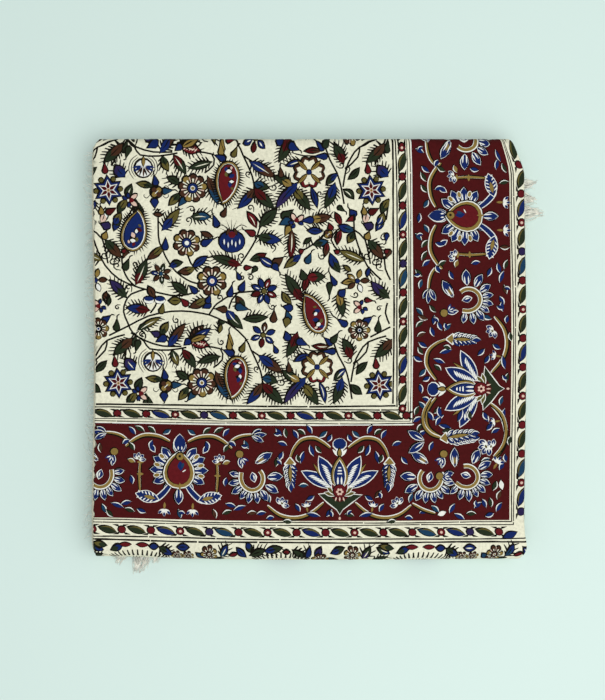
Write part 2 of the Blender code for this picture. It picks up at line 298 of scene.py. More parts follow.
def drop_shape(length, width, bend=0.0, steps=9):
    """A full round drop with a drawn-out tip at the far end, which bends aside."""
    rows = []
    for k in range(steps + 1):
        t = k / steps
        half = 0.56 * width * math.sin(math.pi * t) ** (1 + 0.5 * t) * (1.22 - 0.66 * t)
        rows.append((length * (1 - math.cos(math.pi * t)) / 2, bend * t * t, half))
    return two_sided(rows)


def bud_shape(length, width, bend, steps):
    """Round at the origin's side and pointed at the far end, which bends aside."""
    radius = width / 2
    upper, lower = [], []
    for k in range(steps + 1):
        t = k / steps
        half = radius * (1 - t) ** 0.85
        middle = bend * t * t
        upper.append((length * t, middle + half))
        lower.append((length * t, middle - half))
    turns = [math.radians(d) for d in (45, 90, 135)]
    cap = [(-radius * math.sin(turn), radius * math.cos(turn)) for turn in turns]
    return upper[::-1] + cap + lower[:-1]


class Block:
    """A place to print: its middle in photo pixels, turn in degrees, size, and 1 or -1 to mirror."""

    def __init__(self, x, y, turn=0.0, size=1.0, flip=1):
        self.x, self.y, self.turn, self.size, self.flip = x, y, turn, size, flip
        angle = math.radians(turn)
        self.cos, self.sin = size * math.cos(angle), size * math.sin(angle)

    def spot(self, a, b):
        b = b * self.flip
        return self.x + a * self.cos - b * self.sin, self.y - a * self.sin - b * self.cos

    def spots(self, pairs):
        return [self.spot(a, b) for a, b in pairs]

    def inner(self, a, b, turn=0.0):
        x, y = self.spot(a, b)
        return Block(x, y, self.turn + turn * self.flip, self.size, self.flip)

    def mirrored(self):
        """The same place seen in a mirror across its own middle."""
        return Block(self.x, self.y, self.turn + 180, self.size, -1)

    def fill(self, color, points):
        off_x, off_y = (0.0, 0.0) if color == "dark" else (OFF_X, OFF_Y)
        placed = []
        for x, y in self.spots(points):
            placed.append((x + off_x + DICE.uniform(-SHAKE, SHAKE), y + off_y + DICE.uniform(-SHAKE, SHAKE)))
        INK.append((color, placed))

    def oval(self, color, *measures):
        self.fill(color, oval_shape(*measures))

    def lens(self, color, *measures):
        self.fill(color, lens_shape(*measures))


def on_curve(t, a, b, c, d):
    """One coordinate of a smooth curve through four places, at a part t of the way from b to c."""
    squared, cubed = 2 * a - 5 * b + 4 * c - d, 3 * b - a - 3 * c + d
    return 0.5 * (2 * b + (c - a) * t + squared * t * t + cubed * t**3)


def smooth_line(spots, steps):
    """A curve through the spots, with a few steps between each two."""
    fine = []
    padded = [spots[0]] + list(spots) + [spots[-1]]
    for corners in zip(padded, padded[1:], padded[2:], padded[3:]):
        for k in range(steps):
            t = k / steps
            fine.append(tuple(on_curve(t, *values) for values in zip(*corners)))
    fine.append(spots[-1])
    return fine


def stroke(spots, width, color="dark", taper=True, steps=3):
    """A brushed line through a few places, in photo pixels."""
    fine = smooth_line(spots, steps)
    sides = []
    for k, (x, y) in enumerate(fine):
        before, after = fine[max(0, k - 1)], fine[min(len(fine) - 1, k + 1)]
        dx, dy = after[0] - before[0], after[1] - before[1]
        size = math.hypot(dx, dy) or 1.0
        t = k / (len(fine) - 1)
        half = width / 2 * (0.45 + 0.55 * math.sin(math.pi * t) ** 0.5 if taper else 1.0)
        half_x, half_y = dy / size * half, dx / size * half
        sides.append(((x - half_x, y + half_y), (x + half_x, y - half_y)))
    for first, second in zip(sides, sides[1:]):
        INK.append((color, [first[0], second[0], second[1], first[1]]))


def hairs(block, length, width, sides, bend):
    """Short ink hairs that lean to the tip along the sides of a lens."""
    count = max(3, int(length * (1 - HAIRS_FROM) / HAIR_EVERY))
    for side in sides:
        for k in range(count + 1):
            t = HAIRS_FROM + (HAIRS_TO - HAIRS_FROM) * k / count
            a = length * t
            b = bend * 4 * t * (1 - t) + side * width / 2 * math.sin(math.pi * t)
            angle = math.radians(74 - 40 * t) + DICE.uniform(-0.15, 0.15)
            far = (HAIR_REACH + 0.12 * width) * DICE.uniform(0.8, 1.2)
            tip = (a + far * math.cos(angle), b + side * far * math.sin(angle))
            block.fill("dark", [(a - 1.15, b), (a + 1.15, b), (tip[0] + 0.6, tip[1]), (tip[0] - 0.6, tip[1])])


def leaf(block, length, width, near, far, sides="none", bend=0.0):
    """A leaf in two colours inside a dark outline, from the block's place along its turn."""
    hairs(block, length, width, SIDES[sides], bend)
    block.lens("dark", -OUTLINE, length + 1.6 * OUTLINE, width + 2 * OUTLINE, bend)
    if far == near:
        block.lens(near, 0.4, length, width - 0.4, bend, 5, 0.8)
    else:
        split = length * DICE.uniform(0.42, 0.58)
        block.lens(far, 0.3 * split, length, width - 0.4, 0.8 * bend, 5, 0.8)
        block.lens(near, 0.4, split + 2.0, width - 0.6, 0.4 * bend, 4, 0.7)
    vein = DICE.random()
    if width > 5:
        color = "cream" if vein < 0.22 else "dark"
        block.lens(color, 0.12 * length, 0.80 * length, 1.15, 0.8 * bend, 3)


def bud(block, length, width, color, tail=0.0):
    """A drop with its round end at the block's place, and a fine tail at its tip."""
    if tail:
        line = ((length * 0.7, 0), (length + tail * 0.6, 1.2), (length + tail * 1.3, -1.0))
        stroke(block.spots(line), 1.5, steps=2)
    block.fill("dark", bud_shape(length + 1.2, width + 2 * OUTLINE, 1.2, 4))
    block.fill(color, bud_shape(length - 0.6, width - 0.2, 0.8, 3))


def curl(x, y, turn, size, flip=1):
    """A small tendril that winds in on itself."""
    block = Block(x, y, turn, size, flip)
    line = []
    for k in range(8):
        angle = math.radians(-90 + 52 * k)
        radius = 1.25 - 0.13 * k
        line.append((1.6 + radius * math.cos(angle), 1.25 + radius * math.sin(angle)))
    stroke([(x, y)] + block.spots(line), 1.55, steps=1)


# Field motifs
def star(x, y):
    """A six-pointed star flower with dots between its points."""
    block = Block(x, y, 95, 14.5)
    for k in range(6):
        dot = block.inner(0, 0, 60 * k + 30)
        dot.oval("dark", 0.22, 0.22, 8, (0.84, 0))
        dot.oval("olive", 0.15, 0.15, 7, (0.84, 0))
    for color, reach, width in (
        ("dark", 1.12, 0.78), ("blue", 0.98, 0.60), ("white", 0.76, 0.38), ("maroon", 0.66, 0.26),
    ):
        point = [(0, 0), (0.42 * reach, -width / 2), (reach, 0), (0.42 * reach, width / 2)]
        for k in range(6):
            block.inner(0, 0, 60 * k).fill(color, point)
    block.oval("pink", 0.15, 0.15, 7)
    block.oval("ochre", 0.09, 0.09, 6)


def rosette(x, y, size=14.4, petals=9, heart="blue", eye="ochre"):
    """A round flower with lobed petals, pale slits between them and a ringed heart."""
    block = Block(x, y, DICE.uniform(0, 40), size)
    for k in range(petals):
        block.inner(0, 0, 360 * k / petals).oval("dark", 0.33, 0.35, 9, (0.74, 0))
    block.oval("dark", 0.74, 0.74, 12)
    for k in range(petals):
        petal = block.inner(0, 0, 360 * k / petals)
        petal.oval("brown" if k % 3 else "ochre", 0.20, 0.22, 8, (0.76, 0))
        petal.fill("cream", [(0.36, -0.02), (0.64, -0.07), (0.68, 0), (0.64, 0.07), (0.36, 0.02)])
        slit = block.inner(0, 0, 360 * (k + 0.5) / petals)
        slit.fill("pink" if k % 3 else "cream", [(0.40, -0.02), (0.80, -0.045), (0.80, 0.045), (0.40, 0.02)])
    for color, radius, steps in (("dark", 0.40, 12), (heart, 0.33, 12), ("white", 0.17, 8), (eye, 0.12, 7)):
        block.oval(color, radius, radius, steps)


def paisley_hairs(block, length, width, bend):
    """Ink hairs that stand out all round a paisley."""
    rim = [(a - width / 2, b) for a, b in drop_shape(length + width / 2 + 2, width + 3.4, bend)]
    for (a, b), (c, d) in zip(rim[-1:] + rim[:-1], rim):
        run = math.hypot(c - a, d - b)
        along = ((c - a) / run, (d - b) / run)
        lean = (along[0] * 0.25 - along[1], along[1] * 0.25 + along[0])
        count = max(1, round(run / 2.5))
        for part in range(count):
            t = (part + 0.5) / count
            x, y = a + (c - a) * t, b + (d - b) * t
            reach = DICE.uniform(5.0, 6.8)
            half_x, half_y = along[0] * 1.05, along[1] * 1.05
            tip = (x + lean[0] * reach, y + lean[1] * reach)
            block.fill("dark", [(x - half_x, y - half_y), (x + half_x, y + half_y), tip])


def paisley(x, y, turn, length, width, bend, body):
    """A teardrop with a curved tip, a double rim, a small spray inside and hairs all round."""
    block = Block(x, y, turn)
    paisley_hairs(block, length, width, bend)
    for color, grow in (("dark", 2.3), ("ochre", 1.0), ("white", -0.5), ("dark", -1.1), (body, -1.9)):
        ring = drop_shape(length + width / 2 + 2 * grow, width + 2 * grow, bend)
        block.fill(color, [(a - width / 2 - grow, b) for a, b in ring])
    on_blue = body == "blue"
    for a, b, color, size in (
        (0, 0.6, "dark", 5.2), (length * 0.34, 0.8, "dark", 4.2), (-4, 1.5, "dark", 3.4),
        (-2, 0, "white", 3.0), (3, 2.4, "pink" if on_blue else "blue", 3.2), (1, -3, "olive", 2.6),
        (length * 0.30, 1.5, "white", 2.4), (length * 0.40, -0.6, "maroon" if on_blue else "blue", 3.0),
        (length * 0.54, 1.4, "olive", 2.0), (-5.0, 3, "pink", 1.8),
        (-4.6, -2.5, "red" if on_blue else "blue", 2.6),
    ):
        block.inner(a, b, DICE.uniform(0, 180)).lens(color, -size, size, 1.3 * size, 0, 4)


def spray(x, y, size, petals, colors, heart, tips=True, turn=20):
    """A flower of separate leaf petals round a small heart, each with ink hairs at its tip."""
    block = Block(x, y, turn, size)
    for k in range(petals):
        petal = block.inner(0, 0, 360 * k / petals)
        for angle in (-24, 0, 24) if tips else ():
            petal.inner(0.62, 0, angle).fill("dark", [(0, -0.5 / size), (0, 0.5 / size), (0.42, 0)])
        petal.lens("dark", 0.14, 0.86, 0.42, 0, 5, 0.7)
        petal.lens(colors[k % len(colors)], 0.22, 0.76, 0.27, 0, 5, 0.7)
        if k % 2:
            petal.lens("white", 0.3, 0.58, 0.07, 0, 3)
    block.oval("dark", 0.20, 0.20, 8)
    block.oval(heart, 0.14, 0.14, 7)


def striped_flower(x, y):
    """A round cup flower with striped petals, open at the bottom, and a bud on top."""
    size = 10.5
    block = Block(x, y, 90, size)
    turns = [math.radians(d) for d in (25, 60, 100, 140)]
    for side in (-1, 1):
        for reach, width in ((1.38, 0.16), (1.12, 0.14)):
            arc = [(reach * math.cos(side * turn), reach * math.sin(side * turn)) for turn in turns]
            stroke(block.spots(arc), width * size * 0.55)
    block.oval("dark", 1.0, 0.96, 14)
    block.oval("white", 0.82, 0.78, 14)
    for k, color in enumerate(("blue", "blue", "brown", "dark", "brown", "dark", "brown", "blue", "blue")):
        block.inner(0.25, 0, 100 + 20 * k).lens(color, 0.15, 1.12, 0.25 if color == "blue" else 0.17, 0, 4)
    block.lens("dark", 0.05, 1.22, 0.42, 0, 5)
    block.lens("ochre", 0.16, 1.08, 0.28, 0, 5)


def ball_bud(x, y, size=6.5):
    """A round four-petal bud with small leaves and curls at its sides."""
    for turn, flip in ((25, 1), (150, -1), (205, 1), (335, -1)):
        tendril = ((1.0, 0), (1.7, 0.25 * flip), (2.0, -0.15 * flip), (1.8, -0.45 * flip))
        stroke(Block(x, y, turn, size).spots(tendril), 0.9)
    block = Block(x, y, 45, size)
    block.oval("dark", 1.12, 1.12, 12)
    for k, color in enumerate(("ochre", "brown", "ochre", "brown")):
        block.inner(0, 0, 90 * k).oval(color, 0.40, 0.40, 7, (0.50, 0))
    block.lens("white", -0.5, 0.5, 0.14, 0, 3)


def pomegranate(x, y):
    """A round blue fruit with pale slashes and a hairy crown."""
    block = Block(x, y, 90, 12.5)
    for angle in (-68, -46, -22, 0, 22, 46, 68):
        block.inner(0.55, 0, angle).fill("dark", [(0, -0.05), (0, 0.05), (1.25, 0)])
    for side in (-1, 1):
        stroke(block.spots(((0.9, 0.25 * side), (1.2, 0.8 * side), (1.0, 1.25 * side))), 0.9)
    block.oval("dark", 0.96, 1.12, 14, (-0.1, 0))
    block.oval("blue", 0.85, 1.00, 14, (-0.12, 0))
    for b, a in ((-0.62, -0.1), (-0.30, -0.3), (0.0, -0.15), (0.30, -0.35), (0.62, -0.1)):
        block.inner(a, b).lens("white", -0.28, 0.22, 0.13, 0, 3)
        block.inner(a - 0.12, b + 0.12, 10).lens("dark", -0.25, 0.25, 0.07, 0, 3)
    for b, turn in ((-0.35, 25), (0.35, -25)):
        point = block.inner(0.55, b, turn)
        point.lens("dark", -0.25, 0.5, 0.36, 0, 4)
        point.lens("brown", -0.12, 0.38, 0.22, 0, 4)
    block.oval("red", 0.28, 0.3, 7, (0.45, 0))


def palmette(x, y):
    """A lying palmette: an ochre heart between two striped wings, hairy all round."""
    block = Block(x, y, 12)
    for turn, length, width, color in ((38, 20, 9, "brown"), (-24, 19, 9, "red"), (20, 24, 7, "blue")):
        wing = block.inner(-13, 0, turn)
        leaf(wing, length, width, color, color, "both")
        for k in range(0 if color == "blue" else 5):
            wing.inner(4 + 2.7 * k, 0, 60).lens("pink", -2.6, 2.6, 1.3, 0, 3)
    leaf(block.inner(-13, 0, 8), 17, 5.5, "ochre", "ochre")
    bud(block.inner(-15, 0, 200), 5, 6, "blue")


def ochre_flower(x, y):
    """Four cream heart petals between four slim ochre ones, round a blue eye."""
    block = Block(x, y, 0, 16.5)
    for k, color in enumerate(("brown", "brown", "brown", "red")):
        petal = block.inner(0, 0, 90 * k)
        for b in (-0.24, 0.24):
            petal.oval("dark", 0.33, 0.32, 9, (0.66, b))
        for b in (-0.24, 0.24):
            petal.oval(color, 0.25, 0.24, 8, (0.66, b))
        petal.fill("cream", [(0.1, 0), (0.56, -0.34), (0.78, -0.26), (0.68, 0), (0.78, 0.26), (0.56, 0.34)])
        petal.fill("dark", [(0.62, -0.03), (0.9, -0.02), (0.9, 0.02), (0.62, 0.03)])
    for k in range(4):
        slim = block.inner(0, 0, 90 * k + 45)
        slim.lens("dark", 0.08, 1.04, 0.30, 0, 5, 0.8)
        slim.lens("ochre", 0.16, 0.94, 0.19, 0, 5, 0.8)
        slim.lens("dark", 0.3, 0.8, 0.035, 0, 3)
    block.oval("dark", 0.19, 0.19, 8)
    block.oval("blue", 0.14, 0.14, 7)


def heart_flower(x, y, turn, size=6.0):
    """A small half flower: two pale lobed petals and side buds."""
    block = Block(x, y, turn, size)
    for angle in (-38, 38):
        petal = block.inner(0, 0, angle)
        petal.lens("dark", 0, 1.7, 1.0, 0, 6, 0.6)
        petal.lens("pink", 0.3, 1.45, 0.6, 0, 5, 0.6)
    block.oval("red", 0.4, 0.4, 7, (0.3, 0))
    for angle in (100, -100, 150):
        side_bud = block.inner(0, 0, angle)
        side_bud.lens("dark", 0.2, 1.3, 0.75, 0.1, 5, 0.7)
        side_bud.lens("blue", 0.4, 1.1, 0.45, 0.1, 4, 0.7)


def half_moons(x, y):
    """A pod: two blue half moons with white bands under a brown bud."""
    block = Block(x, y)
    for side in (-1, 1):
        block.oval("dark", 6.2, 4.4, 10, (5.6 * side, -1.5))
        block.oval("white", 5.2, 3.2, 9, (5.6 * side, -2.0))
        block.oval("blue", 5.0, 2.3, 8, (5.6 * side, -0.4))
    leaf(block.inner(0, 1, 118), 12, 6.5, "brown", "brown")


# Field print
# The field's block print, charted over one repeat. A leaf: its middle, turn, length, width,
# near and far colour, and which sides are hairy.
LEAVES = (
    (114, 153, 222, 23, 8, "brown", "green", "both"), (146, 185, 172, 15, 5, "green", "olive", "none"),
    (175, 199, 232, 14, 6, "green", "olive", "none"), (174, 181, 150, 12, 6, "green", "green", "both"),
    (213, 190, 290, 27, 7, "brown", "teal", "both"), (201, 165, 195, 21, 6, "green", "green", "both"),
    (180, 164, 305, 20, 7, "maroon", "green", "right"), (166, 163, 290, 14, 6, "green", "olive", "right"),
    (171, 220, 55, 25, 7.5, "blue", "olive", "both"), (207, 234, -20, 11, 4, "brown", "brown", "right"),
    (201, 217, 0, 17, 7, "green", "teal", "both"), (118, 224, 240, 13, 5.5, "green", "blue", "none"),
    (113, 249, 312, 21, 8, "green", "brown", "both"), (156, 253, 217, 19, 6, "olive", "brown", "none"),
    (130, 192, 70, 13, 6, "green", "green", "none"), (123, 206, 240, 14, 6, "olive", "green", "none"),
    (121, 171, 130, 13, 9, "blue", "purple", "both"), (141, 273, 65, 25, 8, "maroon", "green", "both"),
    (176, 265, 20, 12, 5.5, "blue", "green", "none"), (187, 270, 195, 15, 6, "olive", "brown", "none"),
    (200, 262, 38, 16, 6, "blue", "blue", "right"), (227, 261, 162, 28, 7, "maroon", "green", "both"),
    (118, 290, 135, 22, 7.5, "green", "purple", "both"), (138, 310, 175, 21, 7.5, "maroon", "blue", "both"),
    (175, 301, 180, 11, 6.5, "olive", "olive", "none"), (180, 289, 143, 18, 6.5, "green", "green", "both"),
    (198, 303, 205, 17, 6.5, "olive", "brown", "right"), (234, 319, 312, 22, 8, "blue", "green", "none"),
    (148, 325, 27, 24, 5, "green", "olive", "right"), (164, 330, 62, 13, 6, "green", "olive", "none"),
    (176, 336, 55, 26, 7, "blue", "brown", "both"), (284, 149, 245, 24, 7.5, "maroon", "green", "both"),
    (262, 169, 325, 27, 8, "blue", "brown", "both"), (294, 163, 200, 15, 5, "blue", "blue", "right"),
    (313, 151, 178, 15, 4.5, "brown", "maroon", "none"), (339, 154, 115, 19, 7.5, "maroon", "green", "both"),
    (354, 173, 225, 14, 5, "green", "green", "none"), (332, 179, 222, 14, 5, "blue", "green", "none"),
    (330, 195, 250, 24, 7.5, "blue", "green", "both"), (348, 194, 315, 12, 6, "green", "green", "none"),
    (314, 197, 287, 19, 4.5, "blue", "blue", "none"), (302, 199, 308, 23, 8, "olive", "green", "both"),
    (287, 195, 232, 31, 7, "blue", "purple", "both"), (283, 181, 148, 18, 7, "ochre", "green", "both"),
    (261, 185, 340, 14, 7, "teal", "green", "left"), (247, 198, 233, 24, 7, "brown", "blue", "right"),
    (264, 198, 317, 26, 8, "maroon", "green", "both"), (252, 220, 120, 16, 6, "maroon", "red", "none"),
    (268, 218, 43, 22, 8.5, "green", "green", "both"), (269, 238, 350, 21, 8, "green", "blue", "both"),
    (291, 244, 265, 27, 6, "brown", "maroon", "both"), (320, 218, 10, 19, 7, "ochre", "brown", "both"),
    (315, 231, 180, 13, 5.5, "blue", "blue", "right"), (338, 219, 115, 12, 4.5, "red", "maroon", "none"),
    (346, 228, 165, 14, 6.5, "teal", "blue", "none"), (339, 237, 255, 13, 5, "red", "maroon", "none"),
    (320, 243, 15, 13, 5.5, "green", "teal", "right"), (326, 249, 265, 12, 4.5, "red", "brown", "none"),
    (351, 237, 240, 11, 6, "green", "olive", "none"), (352, 256, 155, 25, 6.5, "olive", "olive", "both"),
    (258, 257, 25, 15, 6, "green", "maroon", "none"), (267, 262, 330, 16, 6.5, "blue", "blue", "none"),
    (293, 261, 215, 19, 6, "blue", "olive", "none"), (335, 263, 115, 19, 7, "green", "blue", "none"),
    (294, 288, 125, 28, 8.5, "maroon", "green", "both"), (255, 318, 5, 22, 6, "green", "green", "left"),
    (305, 283, 255, 13, 5, "red", "maroon", "none"), (315, 277, 5, 16, 8, "red", "green", "both"),
    (340, 304, 285, 22, 6.5, "ochre", "green", "both"), (287, 298, 125, 13, 5.5, "olive", "olive", "none"),
    (104, 216, 75, 14, 6, "pink", "white", "none"), (118, 219, 60, 12, 6, "blue", "olive", "none"),
    (349, 282, 185, 13, 5, "ochre", "ochre", "none"), (241, 302, 130, 12, 6, "green", "brown", "left"),
)
# A bud: its middle, turn, length, width, colour and the length of its tail.
BUDS = (
    (128, 152, 250, 9, 5.5, "green", 2), (182, 202, 225, 8, 6, "teal", 2), (221, 149, 90, 10, 5, "ochre", 3),
    (235, 152, 60, 8, 5, "olive", 3), (166, 244, 80, 9, 6, "blue", 0), (208, 242, 20, 10, 6.5, "blue", 7),
    (216, 221, 105, 10, 6, "blue", 5), (225, 212, 60, 8, 5, "brown", 3), (125, 254, 240, 7, 5, "brown", 0),
    (138, 206, 90, 9, 6, "green", 0), (106, 168, 90, 8, 5, "red", 2), (102, 210, 90, 6, 5, "ochre", 3),
    (112, 211, 20, 8, 6, "maroon", 0), (127, 265, 60, 9, 6, "green", 4), (162, 309, 70, 8, 5, "olive", 3),
    (184, 302, 130, 7, 5.5, "red", 2), (193, 289, 130, 8, 5.5, "blue", 0), (206, 306, 200, 6, 6, "blue", 0),
    (209, 299, 60, 6, 5, "blue", 4), (221, 309, 170, 8, 6, "brown", 2), (231, 291, 70, 9, 5.5, "blue", 4),
    (243, 286, 60, 8, 6, "blue", 0), (116, 326, 80, 9, 5.5, "green", 4), (134, 342, 70, 8, 6, "green", 4),
    (154, 334, 150, 6, 6, "purple", 3), (160, 340, 200, 8, 7, "blue", 0), (279, 140, 100, 6, 7, "blue", 0),
    (294, 148, 330, 8, 7, "blue", 3), (321, 156, 175, 10, 5.5, "blue", 18), (320, 146, 130, 8, 5, "blue", 3),
    (327, 143, 50, 8, 5.5, "green", 4), (281, 172, 90, 8, 4.5, "brown", 3), (250, 232, 150, 8, 6, "red", 3),
    (288, 214, 30, 10, 8, "green", 0), (284, 222, 200, 8, 8, "teal", 0), (287, 231, 240, 8, 6, "ochre", 0),
    (307, 220, 180, 9, 6.5, "blue", 3), (330, 226, 100, 5, 5, "red", 0), (352, 212, 120, 5, 7, "blue", 5),
    (350, 219, 200, 7, 5, "red", 0), (302, 251, 20, 3, 4, "red", 0), (336, 251, 140, 3, 4, "red", 0),
    (125, 251, 20, 3, 4, "red", 0), (105, 225, 150, 6, 8, "purple", 2), (106, 235, 60, 5, 6, "ochre", 3),
    (279, 261, 30, 8, 8, "brown", 3), (276, 268, 300, 6, 6, "blue", 4), (309, 258, 60, 8, 6, "teal", 4),
    (274, 316, 80, 9, 6, "brown", 4), (242, 308, 340, 10, 7, "teal", 3), (303, 274, 100, 7, 7, "green", 0),
    (333, 280, 110, 9, 5, "blue", 6), (329, 289, 265, 11, 5, "green", 4), (343, 292, 40, 5, 7, "blue", 2),
    (342, 322, 140, 8, 6, "blue", 9), (368, 320, 30, 7, 6, "blue", 3), (287, 307, 160, 6, 7, "blue", 2),
    (288, 315, 100, 7, 6, "teal", 0), (286, 323, 250, 6, 7, "olive", 0), (156, 180, 95, 8, 5.5, "blue", 4),
    (168, 191, 0, 8, 6, "teal", 4), (155, 204, 265, 6, 7, "blue", 2), (220, 157, 150, 8, 6, "blue", 2),
    (230, 350, 100, 8, 7, "blue", 0), (230, 340, 90, 12, 5, "ochre", 4), (141, 209, 90, 8, 6, "green", 0),
)
# Curls: place, turn, size and hand.
CURLS = (
    (135, 147, 60, 2.6, 1), (119, 262, 150, 3.0, 1), (121, 271, 170, 3.0, -1), (131, 293, 80, 2.6, 1),
    (137, 330, 60, 3.0, -1), (144, 341, 80, 3.0, 1), (133, 270, 30, 2.6, 1), (250, 178, 150, 2.2, -1),
    (268, 188, 330, 2.8, 1), (336, 166, 330, 2.6, 1), (330, 200, 30, 2.4, 1), (324, 196, 190, 2.4, -1),
    (254, 212, 90, 2.6, 1), (256, 243, 40, 2.6, 1), (241, 262, 120, 2.8, -1), (318, 253, 280, 2.6, 1),
    (375, 266, 20, 3.0, 1), (372, 258, 200, 2.8, -1), (300, 186, 240, 2.4, 1), (190, 226, 60, 2.8, 1),
    (222, 302, 80, 2.4, 1), (228, 316, 60, 2.2, -1), (346, 174, 40, 2.6, 1), (128, 219, 240, 2.4, 1),
    (268, 305, 300, 2.4, 1), (150, 243, 200, 2.2, -1), (120, 306, 180, 2.0, 1), (302, 214, 60, 3.0, 1),
)
# Thin dark vines, each through a few places.
VINES = (
    ((108, 337), (128, 327), (148, 317), (171, 312), (191, 312), (209, 315)),
    ((209, 315), (229, 324), (245, 338), (251, 350), (258, 365), (262, 378), (263, 398)),
    ((92, 214), (92, 230), (96, 246), (105, 266), (119, 280),
     (135, 287), (145, 290), (171, 296), (187, 295), (200, 291)),
    ((145, 290), (131, 295), (125, 303), (123, 313),
     (127, 324), (132, 334), (145, 342), (162, 347), (181, 347)),
    ((122, 256), (123, 269), (128, 280), (135, 287)),
    ((159, 209), (159, 236), (162, 248), (171, 266), (181, 276), (191, 282), (199, 284)),
    ((188, 254), (191, 263), (198, 272)),
    ((378, 141), (360, 147), (351, 158), (346, 170), (343, 187)),
    ((360, 147), (358, 157), (347, 168)),
    ((324, 143), (330, 160), (337, 173), (341, 187), (344, 204)),
    ((241, 264), (249, 252), (257, 238), (260, 228), (268, 220)),
    ((354, 230), (365, 240), (370, 264)),
    ((209, 315), (215, 306), (220, 302), (233, 294), (246, 292), (258, 291)),
    ((354, 228), (346, 227), (337, 230), (331, 240), (338, 251)),
    ((325, 233), (315, 243), (302, 251)),
    ((113, 165), (122, 146), (126, 139)),
    ((122, 139), (135, 147), (141, 155), (160, 156), (178, 153)),
    ((127, 199), (136, 198), (131, 213), (124, 220)),
    ((127, 200), (131, 208), (140, 213)),
    ((258, 165), (250, 160), (244, 156)),
    ((240, 291), (232, 300), (229, 309)),
    ((296, 304), (302, 310), (308, 318)),
    ((148, 290), (158, 300), (150, 314)),
    ((196, 152), (212, 154), (214, 165), (205, 173)),
)
# Round motifs: place, how each is drawn, and what it takes besides its place.
ROUND_MOTIFS = (
    (109, 190, star, ()),
    (144, 168, striped_flower, ()),
    (157, 192, ball_bud, ()),
    (193, 188, rosette, ()),
    (187, 243, rosette, (13.6, 8, "blue", "white")),
    (212, 281, rosette, (15, 8, "blue", "pink")),
    (359, 330, rosette, (10.8, 8, "dark", "blue")),
    (229, 173, paisley, (277, 29, 21, -10, "red")),
    (134, 239, paisley, (60, 27, 23, 11, "blue")),
    (318, 322, paisley, (98, 29, 20, 10, "red")),
    (161, 274, spray, (13, 7, ("brown", "green", "brown", "blue"), "teal")),
    (264, 291, spray, (17, 8, ("blue", "red", "blue", "blue", "maroon", "blue"), "olive")),
    (263, 335, spray, (16, 6, ("blue", "brown", "blue", "blue", "maroon"), "olive", False)),
    (154, 299, half_moons, ()),
    (232, 240, pomegranate, ()),
    (202, 339, palmette, ()),
    (309, 172, ochre_flower, ()),
    (357, 281, spray, (15, 5, ("ochre", "ochre", "brown", "white", "brown"), "blue", False, 75)),
    (361, 307, heart_flower, (180,)),
    (130, 200, heart_flower, (0, 6.5)),
    (296, 222, heart_flower, (80, 6.5)),
    (328, 234, ball_bud, (4.6,)),
)
REPEAT_X, REPEAT_Y, REPEAT_SHIFT = 262.0, 195.0, 8.0
# What can be seen of the cloth, in photo pixels: the top with its wraps, and the left folds.
SHOWN_X, SHOWN_Y = (84, 532), (118, 596)
LEFT_FOLDS = (84, 98)
# The field ends before the border, and starts again past it, where its repeats are shifted.
FIELD_ENDS = (389, 405)
OUTER_FIELD_STARTS = (540, 578)
OUTER_SHIFT = (60, 40)


def shown(x, y, margin=0.0):
    """Whether a place on the cloth can be seen: the top, its wraps, and the folds down the left side."""
    beside = SHOWN_X[0] - margin < x < SHOWN_X[1] + margin
    on_top = beside and SHOWN_Y[0] - margin < y < SHOWN_Y[1] + margin
    return on_top or LEFT_FOLDS[0] < x < LEFT_FOLDS[1]


def in_field(x, y):
    return x < FIELD_ENDS[0] and y < FIELD_ENDS[1]


def in_outer_field(x, y):
    return x > OUTER_FIELD_STARTS[0] or y > OUTER_FIELD_STARTS[1]


def field_motif(dx, dy, inside):
    """One repeat of the field's block print, where it is inside its part of the cloth."""

    def wanted(x, y):
        return shown(x + dx, y + dy, 14) and inside(x + dx, y + dy)

    for line in VINES:
        spots = [(x + dx, y + dy) for x, y in line]
        cut = [p for p in spots if shown(*p, 20) and inside(p[0] - 2, p[1] - 2)]
        if len(cut) > 1:
            stroke(cut, 1.8, taper=False, steps=2)
    for x, y, turn, size, flip in CURLS:
        if wanted(x, y):
            curl(x + dx, y + dy, turn, size, flip)
    for x, y, turn, length, width, near, far, sides in LEAVES:
        if wanted(x, y):
            block = Block(x + dx, y + dy, turn + DICE.uniform(-4, 4))
            bend = DICE.uniform(-1.4, 1.4)
            leaf(block.inner(-length * 0.54, 0), length * 1.08, width * 1.12, near, far, sides, bend)
    for x, y, turn, length, width, color, tail in BUDS:
        if wanted(x, y):
            bud(Block(x + dx, y + dy, turn).inner(-length / 3, 0), length, width, color, tail)
    for x, y, draw, settings in ROUND_MOTIFS:
        if wanted(x, y):
            draw(x + dx, y + dy, *settings)


# Borders
# The maroon border's edges in photo pixels. Its guard lines and bands are counted from them.
BORDER_RIGHT = {"inner": 412.5, "outer": 510.5}
BORDER_FRONT = {"inner": 425.5, "outer": 521.0}
INNER_GUARD_LINES = ((2.0, 1.0), (4.4, 0.9), (15.8, 1.5), (19.2, 1.9))
OUTER_GUARD_LINES = ((1.8, 1.2), (4.3, 1.1), (18.4, 1.5), (21.8, 1.9))
INNER_BAND, OUTER_BAND = (5.6, 14.4), (6.2, 16.8)
GUARD_STEP = 29.0
# Where a leaf lies on each strip's inner and outer guard, and how many steps before it the band starts.
FIRST_LEAF = {"front": (102.0, 108.0), "right": (162.0, 150.0)}
STEPS_BEFORE = 20
# The border's print starts this far from the cloth's hidden edges.
PLAIN_END = 200
# The lines across the middle of each strip's motifs.
FRONT_MIDDLE, RIGHT_MIDDLE = 475.0, 463.0


def strip_point(strip, along, out):
    """A place on a border strip: how far along it, and how far out from the field."""
    return (along, out) if strip == "front" else (out, along)


